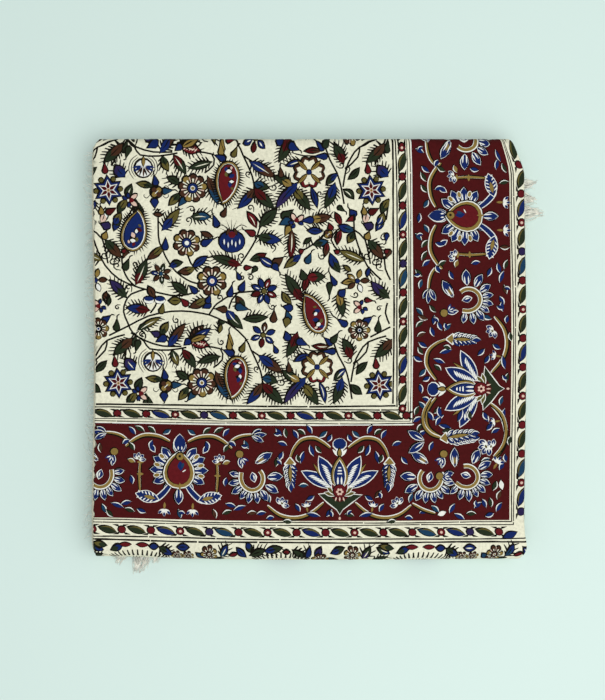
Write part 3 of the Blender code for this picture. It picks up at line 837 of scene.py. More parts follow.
def guard_line(strip, out, width, start, end, color="dark"):
    """A printed guard line, uneven and broken here and there like a block's edge."""
    place = start
    while place < end:
        stop = min(end, place + DICE.uniform(34, 70))
        pieces = 5 if shown(*strip_point(strip, (place + stop) / 2, out), 60) else 1
        edge = []
        for k in range(pieces + 1):
            s = place + (stop - place) * k / pieces
            wave = 0.35 * math.sin(s / 31 + out) + DICE.uniform(-0.12, 0.12)
            edge.append((s, out + wave, width * DICE.uniform(0.75, 1.1) / 2))
        shape = [strip_point(strip, s, o - h) for s, o, h in edge]
        shape += [strip_point(strip, s, o + h) for s, o, h in reversed(edge)]
        INK.append((color, shape))
        place = stop + (DICE.uniform(0.2, 1.6) if DICE.random() < 0.35 else 0.0)


def guard_hooks(strip, place, middle, width):
    """Four small dark hooks between a guard's leaf and the next."""
    hook = ((-3.4, -0.4), (2.6, -0.4), (4.2, 2.4), (0.4, 1.3))
    for shift, hand in ((9.0, 1), (19.5, -1)):
        for side in (-1, 1):
            a = place + shift + DICE.uniform(-1, 1)
            b = middle + side * (width / 2 - 0.6)
            INK.append(("dark", [strip_point(strip, a + k * hand, b - side * h) for k, h in hook]))


def guard_band(strip, start, end, middle, width):
    """Slanted leaves and dots, one after another along a guard."""
    index, place = 0, start
    slant = -17 if strip == "front" else 73
    while place < end:
        x, y = strip_point(strip, place, middle)
        if shown(x, y, 6):
            color = "teal" if index % 7 == 3 else "blue" if index % 5 == 2 else "green"
            block = Block(x, y, slant)
            block.lens("dark", -10.4, 10.4, 8.2, 0, 6, 0.7)
            block.lens(color, -9.0, 9.0, 6.2, 0, 5, 0.75)
            block.lens("olive", -7.5, 9.4, 1.7, 3.0, 4)
            dot = Block(*strip_point(strip, place + GUARD_STEP / 2, middle), slant)
            deep = index % 9 == 5
            dot.oval("dark", 4.5, 4.2, 11)
            dot.oval("purple" if deep else "red", 3.6, 3.4, 10)
            if index % 3 == 1 and not deep:
                dot.oval("pink", 1.5, 1.4, 7)
            guard_hooks(strip, place, middle, width)
        index += 1
        place += GUARD_STEP


def border_frame():
    """The maroon strips with their guards, round the field."""
    right, front = BORDER_RIGHT, BORDER_FRONT
    strips = (
        ("right", CLOTH_Y[0] + PLAIN_END, front["outer"], right["inner"], right["outer"]),
        ("front", CLOTH_X[0] + PLAIN_END, right["outer"], front["inner"], front["outer"]),
    )
    for strip, start, end, inner, outer in strips:
        corners = ((start, inner), (start, outer), (end, outer), (end, inner))
        INK.append(("maroon", [strip_point(strip, s, o) for s, o in corners]))
    for strip, start, end, inner, outer in strips:
        inner_end = end - (outer - inner)
        for out, width in INNER_GUARD_LINES:
            guard_line(strip, inner - out, width, start, inner_end - out)
        for out, width in OUTER_GUARD_LINES:
            guard_line(strip, outer + out, width, start, end + out)
        guard_line(strip, inner - 0.6, 1.0, start, inner_end - 1, "white")
        inner_first, outer_first = (first - GUARD_STEP * STEPS_BEFORE for first in FIRST_LEAF[strip])
        low, high = INNER_BAND
        guard_band(strip, inner_first, inner_end - 18, inner - (low + high) / 2, high - low)
        low, high = OUTER_BAND
        guard_band(strip, outer_first, end + 2, outer + (low + high) / 2, high - low)


def white_petal(block, length, width, streaks=2, core=None):
    """A blue border petal with a white edge and pale streaks at its foot."""
    block.lens("dark", -1.0, length + 2.0, width + 3.2, 0, 5, 0.8)
    block.lens("white", -0.4, length + 0.8, width + 0.9, 0.3, 5, 0.8)
    block.lens("blue", 0.2, length + 0.3, width, 0, 5, 0.8)
    for k in range(streaks):
        b = (k - (streaks - 1) / 2) * width / (streaks + 0.6)
        block.inner(0, b, b * 2.2).lens("white", 0.3, length * 0.62, width * 0.17, 0, 4, 0.8)
    if core:
        block.lens(core, 0.1 * length, 0.55 * length, 0.3 * width, 0, 4)


def vine(block, line, width=3.4):
    """An ochre border stem with a pale edge, in the block's own measure."""
    layers = (("dark", -0.5, width + 1.4), ("white", 0.9, width * 0.75), ("ochre", 0, width * 0.72))
    for color, aside, thick in layers:
        stroke([block.spot(a, b + aside) for a, b in line], thick * block.size, color, steps=4)


def border_leaf(block, length, width, color="blue"):
    """A small border leaf with one white edge."""
    block.lens("dark", -1.2, length + 1.6, width + 2.0, 0.2, 4)
    block.lens("white", -0.5, length + 0.7, width + 0.3, 0.7, 4)
    block.lens(color, -0.2, length + 0.4, width, -0.2, 4)


def leaf_bunch(block, length=26.0):
    """A hanging bunch of blue and white leaves under an ochre calyx, round an ochre core."""
    for k in range(5):
        t = (k + 0.6) / 5
        for side in (-1, 1):
            twig = block.inner(length * t * 0.8, 0.8 * side, side * (48 - 26 * t))
            border_leaf(twig, 8.5 - 2.2 * t, 4.0)
            twig.lens("white", 1.2, 6.0, 1.1, 0.4, 3)
    border_leaf(block.inner(length * 0.82, 0), 8, 4.2)
    block.lens("dark", 2, length * 0.8, 4.6, 0, 5)
    block.lens("ochre", 3, length * 0.74, 3.2, 0, 5)
    block.fill("white", [(-5.4, -1), (-4.6, 1.2), (1.5, 6.0), (3.2, 5.0), (1.0, 0), (3.2, -5.0), (1.5, -6.0)])
    block.fill("ochre", [(-4.6, 0), (1.2, 4.9), (2.2, 0), (1.2, -4.9)])


def tri_sprig(block, size=1.0):
    """Three small blue and white petals on a short ochre foot."""
    block.inner(0, 0, 180).lens("ochre", -1, 6.5 * size, 2.6 * size, 0, 4)
    for angle in (-48, 0, 48):
        petal = block.inner(0, 0, angle)
        petal.lens("white", 0.5, 8.2 * size, 3.6 * size, 0, 5, 0.8)
        petal.lens("blue", 3.6 * size, 8.0 * size, 2.6 * size, 0, 4, 0.8)


def four_petals(block, size=8.0):
    """A small half-open border flower of blue petals with white slits."""
    for angle in (35, 75, 115, 155):
        petal = block.inner(0, -0.3 * size, angle)
        petal.lens("white", 0.1 * size, 1.12 * size, 0.62 * size, 0, 5, 0.7)
        petal.lens("blue", 0.35 * size, 1.05 * size, 0.5 * size, 0, 5, 0.7)
        petal.lens("white", 0.2 * size, 0.8 * size, 0.13 * size, 0, 3)
    block.lens("olive", -0.2 * size, 0.2 * size, 0.25 * size, 0, 4)


def flower_wing(block, side):
    """A curved blue arm under the big flower, with a striped leaf at its tip and a sprig."""
    arm = block.spots(((8 * side, -14), (14 * side, -22), (22 * side, -29), (29 * side, -30)))
    stroke(arm, 6.4 * block.size, "white", steps=4)
    stroke(arm, 4.6 * block.size, "blue", steps=4)
    tip = block.inner(21 * side, -29, (0 if side > 0 else 180) + 14 * side)
    tip.lens("white", -2, 23, 12.5, 0, 7, 0.8)
    tip.lens("blue", -1, 22, 11, 0, 7, 0.8)
    for k in range(5):
        for hand in (-1, 1):
            tip.inner(3 + 3.6 * k, 0, 52 * hand).lens("white", 2.0, 7.2 - 0.5 * k, 1.3, 0, 3)
    tip.lens("ochre", 2, 14, 4, 0, 5)
    tri_sprig(block.inner(14 * side, -38, 268))


def boteh_flower(block):
    """The border's big flower: a ringed teardrop with blue petals round it, buds and leaves."""
    for angle, length, width in (
        (126, 15, 8), (152, 15, 7.5), (178, 15, 7.5), (206, 14, 7.5), (234, 10, 5),
        (306, 10, 5), (334, 14, 7.5), (2, 15, 7.5), (28, 15, 7.5), (54, 15, 8),
    ):
        white_petal(block.inner(0, 0, angle).inner(13.5, 0), length, width)
    for angle in (140, 165, 192, 40, 15, -12):
        dot = block.inner(0, 0, angle).inner(22.5, 0)
        dot.oval("white", 3.6, 2.5, 8)
        dot.oval("ochre", 2.9, 1.8, 8)
    top = block.inner(1, 18, 92)
    for angle in (-38, 38):
        white_petal(top.inner(0, 0, angle), 10, 4.5, 1)
    top.lens("white", -1, 19.5, 12.5, 0.5, 7, 0.8)
    top.lens("blue", 0, 19, 11.2, 0, 7, 0.8)
    for b in (-1.8, 1.8):
        top.inner(3, b).lens("white", 0, 4, 1.5, 0, 3)
    white_petal(block.inner(0, -18, 270), 15, 8, 2)
    for side in (-1, 1):
        flower_wing(block, side)
    ring = block.inner(0, -2, 90)
    for color, grow in (("dark", 2.9), ("white", 1.9), ("ochre", 0.9), ("dark", -1.9), ("red", -2.6)):
        ring.fill(color, [(a - 14 - grow, b) for a, b in drop_shape(34 + 2 * grow, 27 + 2 * grow)])
    for color, radius, steps in (("dark", 4.6, 10), ("ochre", 3.8, 10), ("dark", 1.4, 6)):
        block.oval(color, radius, radius, steps, (1, 14.5))
    for turn in (0, 90):
        block.inner(1, -15.5, turn).lens("ochre", -4, 4, 2.4, 0, 4)
    block.inner(2, 1, 96).lens("blue", -1, 9, 6, 0, 5)
    block.inner(2, 1, 70).lens("teal", 2, 8, 3, 0, 4)
    block.inner(3, -1, 30).lens("white", 0, 5, 1.3, 0, 3)


def hooked_boteh(block):
    """A hook of ochre ring with blue petals outside it and a bud inside."""
    ring = []
    for k in range(11):
        angle = math.radians(158 + 24.5 * k)
        radius = 12.8 - 0.34 * k
        ring.append((radius * math.cos(angle), 1.12 * radius * math.sin(angle)))
    for angle, length, width in (
        (168, 10, 5), (193, 11, 5.5), (216, 12, 6), (238, 10, 5), (258, 11, 5.5),
        (280, 11, 5.5), (302, 12, 6.5), (330, 14, 7), (4, 15, 8),
    ):
        white_petal(block.inner(0, 0, angle).inner(14.0, 0), length, width)
    white_petal(block.inner(2, 15, 32), 19, 8, 2, "ochre")
    white_petal(block.inner(-12, 10, 96), 11, 5, 2)
    for color, width, shrink in (("dark", 5.6, 1), ("white", 4.6, 1), ("ochre", 3.0, 0.97)):
        stroke([block.spot(a * shrink, b * shrink) for a, b in ring], width * block.size, color, taper=False)
    block.oval("dark", 4.6, 4.4, 9, (-14, 24))
    block.oval("ochre", 3.8, 3.6, 9, (-14, 24))
    for angle in (260, 300, 340):
        petal = block.inner(-12, 20, angle)
        petal.lens("blue", 0, 8, 3.6, 0, 4)
        petal.lens("white", 1, 6, 1.3, 0, 3)
    seed = block.inner(0, 1, 105)
    seed.lens("white", -5.5, 5.5, 7.2, 0, 5)
    seed.lens("blue", -4.6, 4.8, 5.4, 0.6, 5)
    seed.lens("white", -3, 2.5, 1.5, -0.6, 3)


def streaked_petal(block, length, width, side):
    """A lotus petal in blue with a comb of white streaks along it."""
    block.lens("white", -0.6, length + 1.2, width + 1.8, 0.8 * side, 8, 0.85)
    block.lens("blue", 0, length, width, 0.8 * side, 8, 0.85)
    for k in range(8):
        t = 0.1 + 0.085 * k
        streak = block.inner(length * t, 0.6 * side, -34 * side)
        streak.lens("white", -width * 0.36, width * (0.42 - 0.2 * t), 1.7, 0, 4)


def lotus_top(block):
    """The lotus's round bud, with white sepals and a pointed ochre heart."""
    top = block.inner(0, 21, 90)
    for angle in (-42, -18, 18, 42):
        top.inner(-3, 0, angle).lens("white", 0, 11, 3.2, 0, 4)
    top.oval("white", 6.4, 7.4, 10, (10, 0))
    top.oval("blue", 5.6, 6.6, 10, (10.5, 0))
    top.lens("dark", -5, 7, 5.6, 0, 5)
    top.lens("ochre", -3, 5.6, 3.6, 0, 5)


def lotus_core(block):
    """The lotus's middle petal in its pointed ring, with white bars and slits."""
    core = block.inner(0, -18, 90)
    for color, grow in (("dark", 1.2), ("ochre", 0.4), ("white", -1.4), ("dark", -2.1), ("blue", -2.7)):
        core.lens(color, -1 - grow, 36 + 1.6 * grow, 15.5 + 2 * grow, 0, 8, 0.85)
    for a, half in ((19, 2.6), (22, 2.2), (25, 1.6)):
        core.fill("white", [(a, -half), (a + 1.3, -half + 0.4), (a + 1.3, half - 0.4), (a, half)])
    for b in (-1.9, 1.9):
        core.inner(7, b).lens("white", 0, 10, 1.9, 0, 4, 0.6)


def lotus_cup(block):
    """The green cup under the lotus, with its sepals and the red rosette on it."""
    cup = (
        (-21, -19), (-12, -27), (-3, -34), (0, -39), (3, -34), (12, -27),
        (22, -20), (12, -19), (6, -24), (0, -27), (-6, -24), (-11, -18),
    )
    block.fill("white", [(a * 1.05, b - (0.9 if b < -20 else -0.6)) for a, b in cup])
    block.fill("green", cup)
    for side in (-1, 1):
        for turn, color in ((12, "olive"), (40, "olive"), (68, "red")):
            petal = block.inner(3 * side, -20, 90 - (90 - turn) * side)
            petal.lens("white", 0, 13.5, 5.4, 0, 5)
            petal.lens(color, 0.8, 12.6, 3.8, 0, 5)
    block.oval("dark", 7.2, 7.2, 11, (0, -16))
    block.oval("red", 6.4, 6.6, 11, (0, -16))
    for k in range(6):
        block.inner(0, -16.5, 60 * k).oval("pink", 1.5, 1.3, 6, (2.4, 0))
    block.oval("maroon", 1.5, 1.5, 6, (0, -16.5))
    for a in (-4, 0, 4):
        block.inner(a, -24, 90 + 4 * a).lens("pink", -2.2, 2.6, 1.6, 0, 4)
    block.oval("pink", 1.2, 1.6, 6, (0, -43))


def lotus(block):
    """The border's lotus: two pairs of streaked petals, slim ochre ones, a bud, a core and a cup."""
    for side in (-1, 1):
        streaked_petal(block.inner(8.5 * side, -13, 90 - 60 * side), 34, 11, side)
        slim = block.inner(7 * side, -10, 90 - 42 * side)
        slim.lens("dark", 0, 30, 5.4, -1.0 * side, 6)
        slim.lens("ochre", 1, 29, 3.6, -1.0 * side, 6)
        streaked_petal(block.inner(6 * side, -13, 90 - 25 * side), 35, 13, side)
    lotus_top(block)
    lotus_core(block)
    lotus_cup(block)


def small_leaves(block, width, rows):
    """Border leaves round a block: place, turn, length and colour in each row."""
    for a, b, turn, length, color in rows:
        border_leaf(block.inner(a, b, turn), length, width, color)


# Small leaves beside the lotus, beside the big flower and in the border's corner.
LOTUS_LEAVES = (
    (20, 38, 140, 9, "teal"), (28, 42, 60, 9, "blue"), (35, 41, 35, 8, "green"), (12, 34, 120, 7, "blue"),
    (42, 37, 60, 9, "blue"), (53, 30, 20, 9, "blue"), (30, 30, 250, 11, "blue"), (36, 24, 285, 12, "blue"),
    (43, 20, 250, 7, "green"), (24, 29, 230, 8, "green"), (20, -41, 12, 13, "blue"), (40, -36, 60, 8, "blue"),
    (33, -25, 150, 8, "blue"), (48, -47, 10, 8, "green"), (66, -42, 350, 7, "blue"), (70, -27, 70, 9, "teal"),
)
FLOWER_LEAVES = (
    (16, 37, 150, 8, "teal"), (24, 38, 40, 9, "green"), (35, 39, 30, 10, "green"), (27, 30, 285, 8, "blue"),
    (44, 36, 50, 9, "blue"), (50, 30, 330, 7, "blue"), (45, 20, 60, 8, "green"), (44, 8, 20, 7, "ochre"),
    (47, -32, 345, 10, "blue"), (55, -38, 20, 12, "blue"), (44, -42, 20, 9, "green"),
    (46, -14, 80, 8, "blue"),
)
CORNER_LEAVES = (
    (415, -415, 70, 9, "green"), (428, -412, 300, 9, "blue"), (436, -425, 60, 9, "blue"),
    (440, -417, 100, 10, "blue"), (470, -420, 100, 8, "green"), (462, -410, 250, 12, "blue"),
    (487, -420, 120, 8, "blue"), (492, -424, 230, 8, "blue"), (420, -513, 20, 9, "blue"),
    (450, -513, 60, 10, "blue"), (455, -514, 330, 11, "blue"), (446, -512, 200, 8, "white"),
    (497, -512, 60, 10, "blue"), (494, -514, 200, 8, "blue"), (467, -514, 0, 9, "green"),
    (432, -506, 320, 9, "teal"), (500, -470, 60, 8, "blue"), (497, -482, 250, 9, "green"),
    (503, -490, 100, 9, "white"), (498, -500, 70, 9, "brown"),
)


def lotus_vines(block):
    """Ochre stems that arch over and under the lotus, with calyxes, bunches and small leaves."""
    for half in (block.mirrored(), block):
        vine(half, ((9, 27), (17, 33), (26, 37), (38, 35), (46, 26), (50, 15)))
        vine(half, ((16, -28), (30, -39), (45, -43), (60, -40), (72, -31)))
        leaf_bunch(half.inner(50, 13, 268))
        four_petals(half.inner(58, -28, 30))
        tri_sprig(half.inner(33, -32, 80), 0.8)
        small_leaves(half, 3.8, LOTUS_LEAVES)


def flower_vines(block):
    """Ochre stems and small leaves at both sides of the big flower."""
    for half in (block.mirrored(), block):
        vine(half, ((9, 29), (20, 34), (34, 35), (45, 30), (53, 23)))
        vine(half, ((49, 27), (56, 33), (64, 36), (73, 37)), 2.6)
        for turn, length in ((38, 11), (8, 14), (-26, 12)):
            white_petal(half.inner(73, 36, turn), length, 4.6, 1)
        vine(half, ((38, 9), (39, -4), (38, -22)), 3.0)
        for b in (-4, 8):
            half.inner(38.5, b).lens("ochre", -3.6, 3.6, 3.0, 0, 4)
        four_petals(half.inner(40, 12, 20), 7)
        petal = half.inner(30, 27, 235)
        petal.lens("white", 0, 11, 6, 0, 5)
        petal.lens("blue", 0.8, 10, 4.6, 0, 5)
        small_leaves(half, 3.8, FLOWER_LEAVES)


def corner_filling():
    """What fills the border's corner between the two strips, in photo pixels with Y up."""
    corner = Block(0, 0)
    vine(corner, ((431, -399), (424, -412), (424, -425), (431, -434), (441, -438)), 3.6)
    vine(corner, ((490, -404), (501, -414), (506, -428), (505, -441), (501, -450), (494, -458)), 3.6)
    leaf_bunch(Block(445, 438, 8), 32)
    four_petals(Block(486, 447, 120), 10)
    white_petal(Block(424, 440, 150), 18, 7, 1)
    white_petal(Block(424, 442, 215), 18, 7, 1)
    small_leaves(corner, 4.0, CORNER_LEAVES)
    tri_sprig(Block(497, 464, 60))
    for color, grow in (("dark", 1.6), ("blue", 0.0)):
        Block(505, 537.5, 20).lens(color, -2 - grow, 13 + grow, 6 + 1.4 * grow, 0, 6)
    vine(corner, ((413, -504), (424, -510), (436, -514)), 2.6)


def borders():
    """The motifs of both border strips. A strip's hooked teardrops face each other in pairs."""
    for x in (-143.5, 178.5):
        flower_vines(Block(x, FRONT_MIDDLE - 3))
    for x in (17.5, 339.5):
        lotus_vines(Block(x, FRONT_MIDDLE))
    flower_vines(Block(RIGHT_MIDDLE + 2, 216, 90))
    for y in (389, 65):
        lotus_vines(Block(RIGHT_MIDDLE, y, 90))
    hooked_boteh(Block(253, FRONT_MIDDLE + 3))
    for x in (100, 430):
        hooked_boteh(Block(x, FRONT_MIDDLE + 3).mirrored())
    hooked_boteh(Block(467, FRONT_MIDDLE + 1, 60, 0.98))
    hooked_boteh(Block(RIGHT_MIDDLE + 4, 299, 90))
    hooked_boteh(Block(RIGHT_MIDDLE + 4, 140, 90).mirrored())
    boteh_flower(Block(178.5, FRONT_MIDDLE - 3))
    boteh_flower(Block(RIGHT_MIDDLE + 2, 216, 90))
    lotus(Block(339.5, FRONT_MIDDLE))
    lotus(Block(RIGHT_MIDDLE + 1, 389, 90))
    corner_filling()


# The vine band outside the border, over the round front: its own block repeats every 285 pixels.
BAND_LEAVES = (
    (101, 547, 170, 13, 4.5, "green", "olive", "none"), (117, 550, 20, 12, 5, "green", "blue", "none"),
    (154, 548, 0, 8, 4.5, "blue", "blue", "none"), (166, 552, 330, 14, 6, "green", "blue", "both"),
    (183, 548, 0, 11, 5.5, "blue", "blue", "none"), (224, 551, 60, 12, 5.5, "teal", "blue", "both"),
    (233, 554, 20, 8, 3.5, "red", "red", "none"), (241, 552, 315, 12, 5.5, "blue", "blue", "none"),
    (249, 547, 300, 9, 5, "blue", "green", "none"), (257, 552, 20, 15, 6, "green", "green", "both"),
    (273, 549, 10, 17, 5.5, "blue", "green", "right"), (286, 551, 0, 6, 3.5, "red", "red", "none"),
    (299, 553, 330, 15, 5, "green", "green", "both"), (308, 553, 75, 12, 4.5, "blue", "blue", "left"),
    (318, 552, 60, 10, 6, "blue", "purple", "none"), (337, 550, 20, 13, 5.5, "blue", "green", "none"),
    (366, 553, 60, 13, 6.5, "purple", "green", "both"), (383, 550, 160, 12, 5.5, "blue", "green", "none"),
    (331, 560, 350, 12, 4, "teal", "green", "none"), (380, 559, 20, 14, 4.5, "green", "green", "both"),
    (200, 556, 320, 10, 4.5, "teal", "blue", "none"), (217, 560, 10, 12, 4, "green", "green", "none"),
)
BAND_ROSETTES = ((177, 556, 6), (188, 556, 6), (209, 553, 8.5), (320, 560, 9), (352, 553, 8.5))
BAND_REPEAT = 285.0
BAND_SHOWN = (84, 540)
BAND_DOT_Y = 547
BAND_COMB_Y, BAND_COMB_HAIRS = 566.0, 15


def in_band(x):
    return BAND_SHOWN[0] < x < BAND_SHOWN[1]


def comb(middle):
    """A flat arch of ink hairs over a paisley."""
    for k in range(BAND_COMB_HAIRS):
        angle = math.radians(25 + 130 * k / (BAND_COMB_HAIRS - 1))
        x = middle + 27 * math.cos(angle)
        y = BAND_COMB_Y - 8 * math.sin(angle)
        if in_band(x):
            hair = Block(x, y, 90 + (math.degrees(angle) - 90) * 0.7)
            hair.fill("dark", [(0, -1.1), (0, 1.1), (6.8, 0.6), (6.8, -0.6)])


def vine_band():
    """The cream band past the guards: leaves, lens dots, rosettes and combs over paisleys."""
    for dx in (-BAND_REPEAT, 0.0, BAND_REPEAT):
        for x, y, turn, length, width, near, far, sides in BAND_LEAVES:
            if in_band(x + dx):
                leaf(Block(x + dx, y, turn).inner(-length / 2, 0), length, width, near, far, sides)
        for x in (126, 143):
            if in_band(x + dx):
                dot = Block(x + dx, BAND_DOT_Y)
                dot.lens("dark", -7, 7, 5.0, 0, 6)
                dot.lens("red", -5.6, 5.6, 3.2, 0, 6)
        for x, y, size in BAND_ROSETTES:
            if in_band(x + dx):
                rosette(x + dx, y + 1, size, 7, "brown", "ochre")
        for middle, color in ((138, "blue"), (281, "red")):
            comb(middle + dx)
            if in_band(middle + dx):
                paisley(middle + dx - 8, 574, 0, 26, 16, 0, color)


# Small motifs go where nothing is printed. Shapes longer than this are grounds and guard lines.
LONG_SHAPE = 60
# Areas in photo pixels: left, back, right and front.
FIELD_AREA = (86, 128, 387, 402)
BORDER_AREAS = ((86, 430, 508, 518), (416, 130, 508, 430))


def open_places(area, pitch, room):
    """Places in an area, on a loose grid, with no ink nearer than the room they need."""
    taken = {}

    def cell(x, y):
        return int(x // room), int(y // room)

    for _, shape in INK:
        if max(p[0] for p in shape) - min(p[0] for p in shape) < LONG_SHAPE:
            for spot in shape:
                taken.setdefault(cell(*spot), []).append(spot)
    left, back, right, front = area
    found = []
    for row in range(int((front - back) / pitch)):
        for column in range(int((right - left) / pitch)):
            x = left + (column + DICE.random()) * pitch
            y = back + (row + DICE.random()) * pitch
            i, j = cell(x, y)
            cells = [(i + k, j + m) for k in (-1, 0, 1) for m in (-1, 0, 1)]
            near = [spot for place in cells for spot in taken.get(place, ())]
            if all(math.hypot(x - a, y - b) > room for a, b in near):
                found.append((x, y))
                taken.setdefault((i, j), []).append((x, y))
    return found


def field_fillers():
    """Small leaves, buds and curls in the gaps between the field's main motifs."""
    for index, (x, y) in enumerate(open_places(FIELD_AREA, 3.2, 4.9)):
        turn = DICE.uniform(0, 360)
        if index % 3 == 0:
            color = ("green", "brown", "blue", "olive")[index % 4]
            leaf(Block(x, y, turn).inner(-4, 0), 8.5, 3.4, color, color, "left")
        elif index % 3 == 1:
            curl(x - 2, y, turn, 2.6, DICE.choice((1, -1)))
        else:
            bud(Block(x, y, turn).inner(-2, 0), 6, 4, ("blue", "red", "green")[index // 3 % 3], 3)


def border_fillers():
    """Small leaves in the gaps of the maroon border, every third with a second leaf."""
    for area in BORDER_AREAS:
        for index, (x, y) in enumerate(open_places(area, 4.6, 6.4)):
            turn = DICE.uniform(0, 360)
            color = ("blue", "green", "blue", "teal", "brown")[index % 5]
            border_leaf(Block(x, y, turn).inner(-4, 0), 8.5, 3.6, color)
            if index % 3 == 0:
                border_leaf(Block(x, y, turn + 55).inner(-1, 1.5), 5.5, 2.8)


# The border's clean ground starts a little before its print, and is this much wider on each side.
GROUND_START = 190
GROUND_INSIDE, GROUND_OUTSIDE = 20.5, 25


def border_ground():
    """Clean cream under the border, which covers what ran past the field's edge."""
    left, back = CLOTH_X[0] + GROUND_START, CLOTH_Y[0] + GROUND_START
    right, front = BORDER_RIGHT["outer"] + GROUND_OUTSIDE, BORDER_FRONT["outer"] + GROUND_OUTSIDE
    inner_x, inner_y = BORDER_RIGHT["inner"] - GROUND_INSIDE, BORDER_FRONT["inner"] - GROUND_INSIDE
    for x, y in ((inner_x, back), (left, inner_y)):
        INK.append(("cream", [(x, y), (right, y), (right, front), (x, front)]))


def draw_print():
    """All ink on the cloth, in the order in which it is printed."""
    for column in range(-3, 3):
        for row in range(-3, 4):
            field_motif(column * REPEAT_X + row * REPEAT_SHIFT, row * REPEAT_Y, in_field)
    for row in (2, 3):
        for column in (-1, 0, 1):
            x, y = column * REPEAT_X + OUTER_SHIFT[0], row * REPEAT_Y + OUTER_SHIFT[1]
            field_motif(x, y, in_outer_field)
    field_fillers()
    border_ground()
    border_frame()
    borders()
    border_fillers()
    vine_band()


# The cloth
# Steps of its grid in metres, on the flats inside the pack, on the top, and in the turns.
FLAT_STEP, TOP_STEP = 0.030, 0.0085
TURN_STEP_ACROSS, TURN_STEP_ALONG = 0.0011, 0.0017
# The number of the top's flat part in each fold line.
TOP_PART = 2
# Outside these pixels the cloth turns over a fold, and every ink edge is split at the grid.
FOLD_X, FOLD_Y = (98, 518), (149, 542)
# Elsewhere only edges longer than this are split. No cut is nearer than this to a corner. In pixels.
LONG_EDGE, LEAST_PART = 7, 0.15
# Corners that are nearer than this, in pixels, become one in the first and in the second cut.
FIRST_MERGE, SECOND_MERGE = 0.004, 0.10
# The reverse has every third line of the grid.
BACK_EVERY = 3
# A small step on the cloth in metres, for its slope.
SLOPE_STEP = 0.0002
# The part of the cloth that takes most of the bake map, in photo pixels.
BAKED_X, BAKED_Y = (84, 536), (126, 600)


def marks(line, top, start_pixel, turn_step):
    """Grid lines along one fold line, in photo pixels, finest in the turns and on the top."""
    found = []
    for index, (first, last) in enumerate(zip(line.starts, line.starts[1:])):
        step = turn_step if line.parts[index][0] == "turn" else TOP_STEP if index == TOP_PART else FLAT_STEP
        count = max(2, round((last - first) / step))
        found += [first + (last - first) * k / count for k in range(count)]
    found.append(line.length)
    return sorted(start_pixel + (top - s) / PIXEL for s in found)


def linear(color):
    """A colour of 0 to 255, as it looks, in the renderer's linear values."""
    shares = [value / 255 for value in color]
    return [share / 12.92 if share <= 0.04045 else ((share + 0.055) / 1.055) ** 2.4 for share in shares]


def bake_place(value, low, high, first, last):
    """Where a photo pixel lies on the bake map: the top of the pack takes most of the map."""
    if value < first:
        return 0.04 * (value - low) / (first - low)
    if value > last:
        return 0.90 + 0.04 * (value - last) / (high - last)
    return 0.04 + 0.86 * (value - first) / (last - first)


def topmost_ink(spots, faces):
    """For each face, the number of the last ink shape that covers its middle, or -1."""
    middles = spots[faces].mean(axis=1)
    order = np.argsort(middles[:, 0])
    sorted_x = middles[order, 0]
    found = np.full(len(faces), -1)
    for number, (_, shape) in enumerate(INK):
        corners = np.array(shape)
        low, high = corners.min(axis=0), corners.max(axis=0)
        near = order[np.searchsorted(sorted_x, low[0]):np.searchsorted(sorted_x, high[0])]
        near = near[(middles[near, 1] > low[1]) & (middles[near, 1] < high[1])]
        x, y = middles[near, 0], middles[near, 1]
        inside = np.zeros(len(near), dtype=bool)
        for (x0, y0), (x1, y1) in zip(corners, np.roll(corners, -1, axis=0)):
            if y0 != y1:
                crosses = ((y0 > y) != (y1 > y)) & (x < (x1 - x0) * (y - y0) / (y1 - y0) + x0)
                inside ^= crosses
        found[near[inside]] = number
    return found


def at_fold(low, high, limits):
    return low < limits[0] or high > limits[1]


def split_at_grid(shape, grid_x, grid_y):
    """The shape with more corners where its long edges, or any edge at a fold, cross the grid."""
    found = []
    for (x0, y0), (x1, y1) in zip(shape, shape[1:] + shape[:1]):
        found.append((x0, y0))
        left, right = sorted((x0, x1))
        back, front = sorted((y0, y1))
        folds = at_fold(left, right, FOLD_X) or at_fold(back, front, FOLD_Y)
        if not folds and math.hypot(x1 - x0, y1 - y0) < LONG_EDGE:
            continue
        cuts = []
        for low, high, first, last, grid in ((x0, x1, left, right, grid_x), (y0, y1, back, front, grid_y)):
            start = bisect.bisect_right(grid, first + LEAST_PART)
            stop = bisect.bisect_left(grid, last - LEAST_PART)
            cuts += [(line - low) / (high - low) for line in grid[start:stop]]
        found += [(x0 + (x1 - x0) * t, y0 + (y1 - y0) * t) for t in sorted(cuts)]
    return found


def cut_inks(spots, edges, merge):
    """Triangles over the spots that keep the edges, with the topmost ink shape of each."""
    cut = geometry.delaunay_2d_cdt([Vector(p) for p in spots], edges, [], 0, merge, False)
    flat = [(v.x, v.y) for v in cut[0]]
    faces = [list(f) for f in cut[2]]
    return flat, faces, topmost_ink(np.array(flat), np.array(faces))


def ink_name(number):
    return INK[number][0] if number >= 0 else "cream"


def sides_of(face):
    return zip(face, face[1:] + face[:1])


def ink_edges(faces, inks):
    """The edges whose two faces differ in colour."""
    color_at = {}
    kept = []
    for face, number in zip(faces, inks):
        color = ink_name(number)
        for a, b in sides_of(face):
            key = (min(a, b), max(a, b))
            if key not in color_at:
                color_at[key] = color
            elif color_at[key] != color:
                kept.append(key)
    return kept


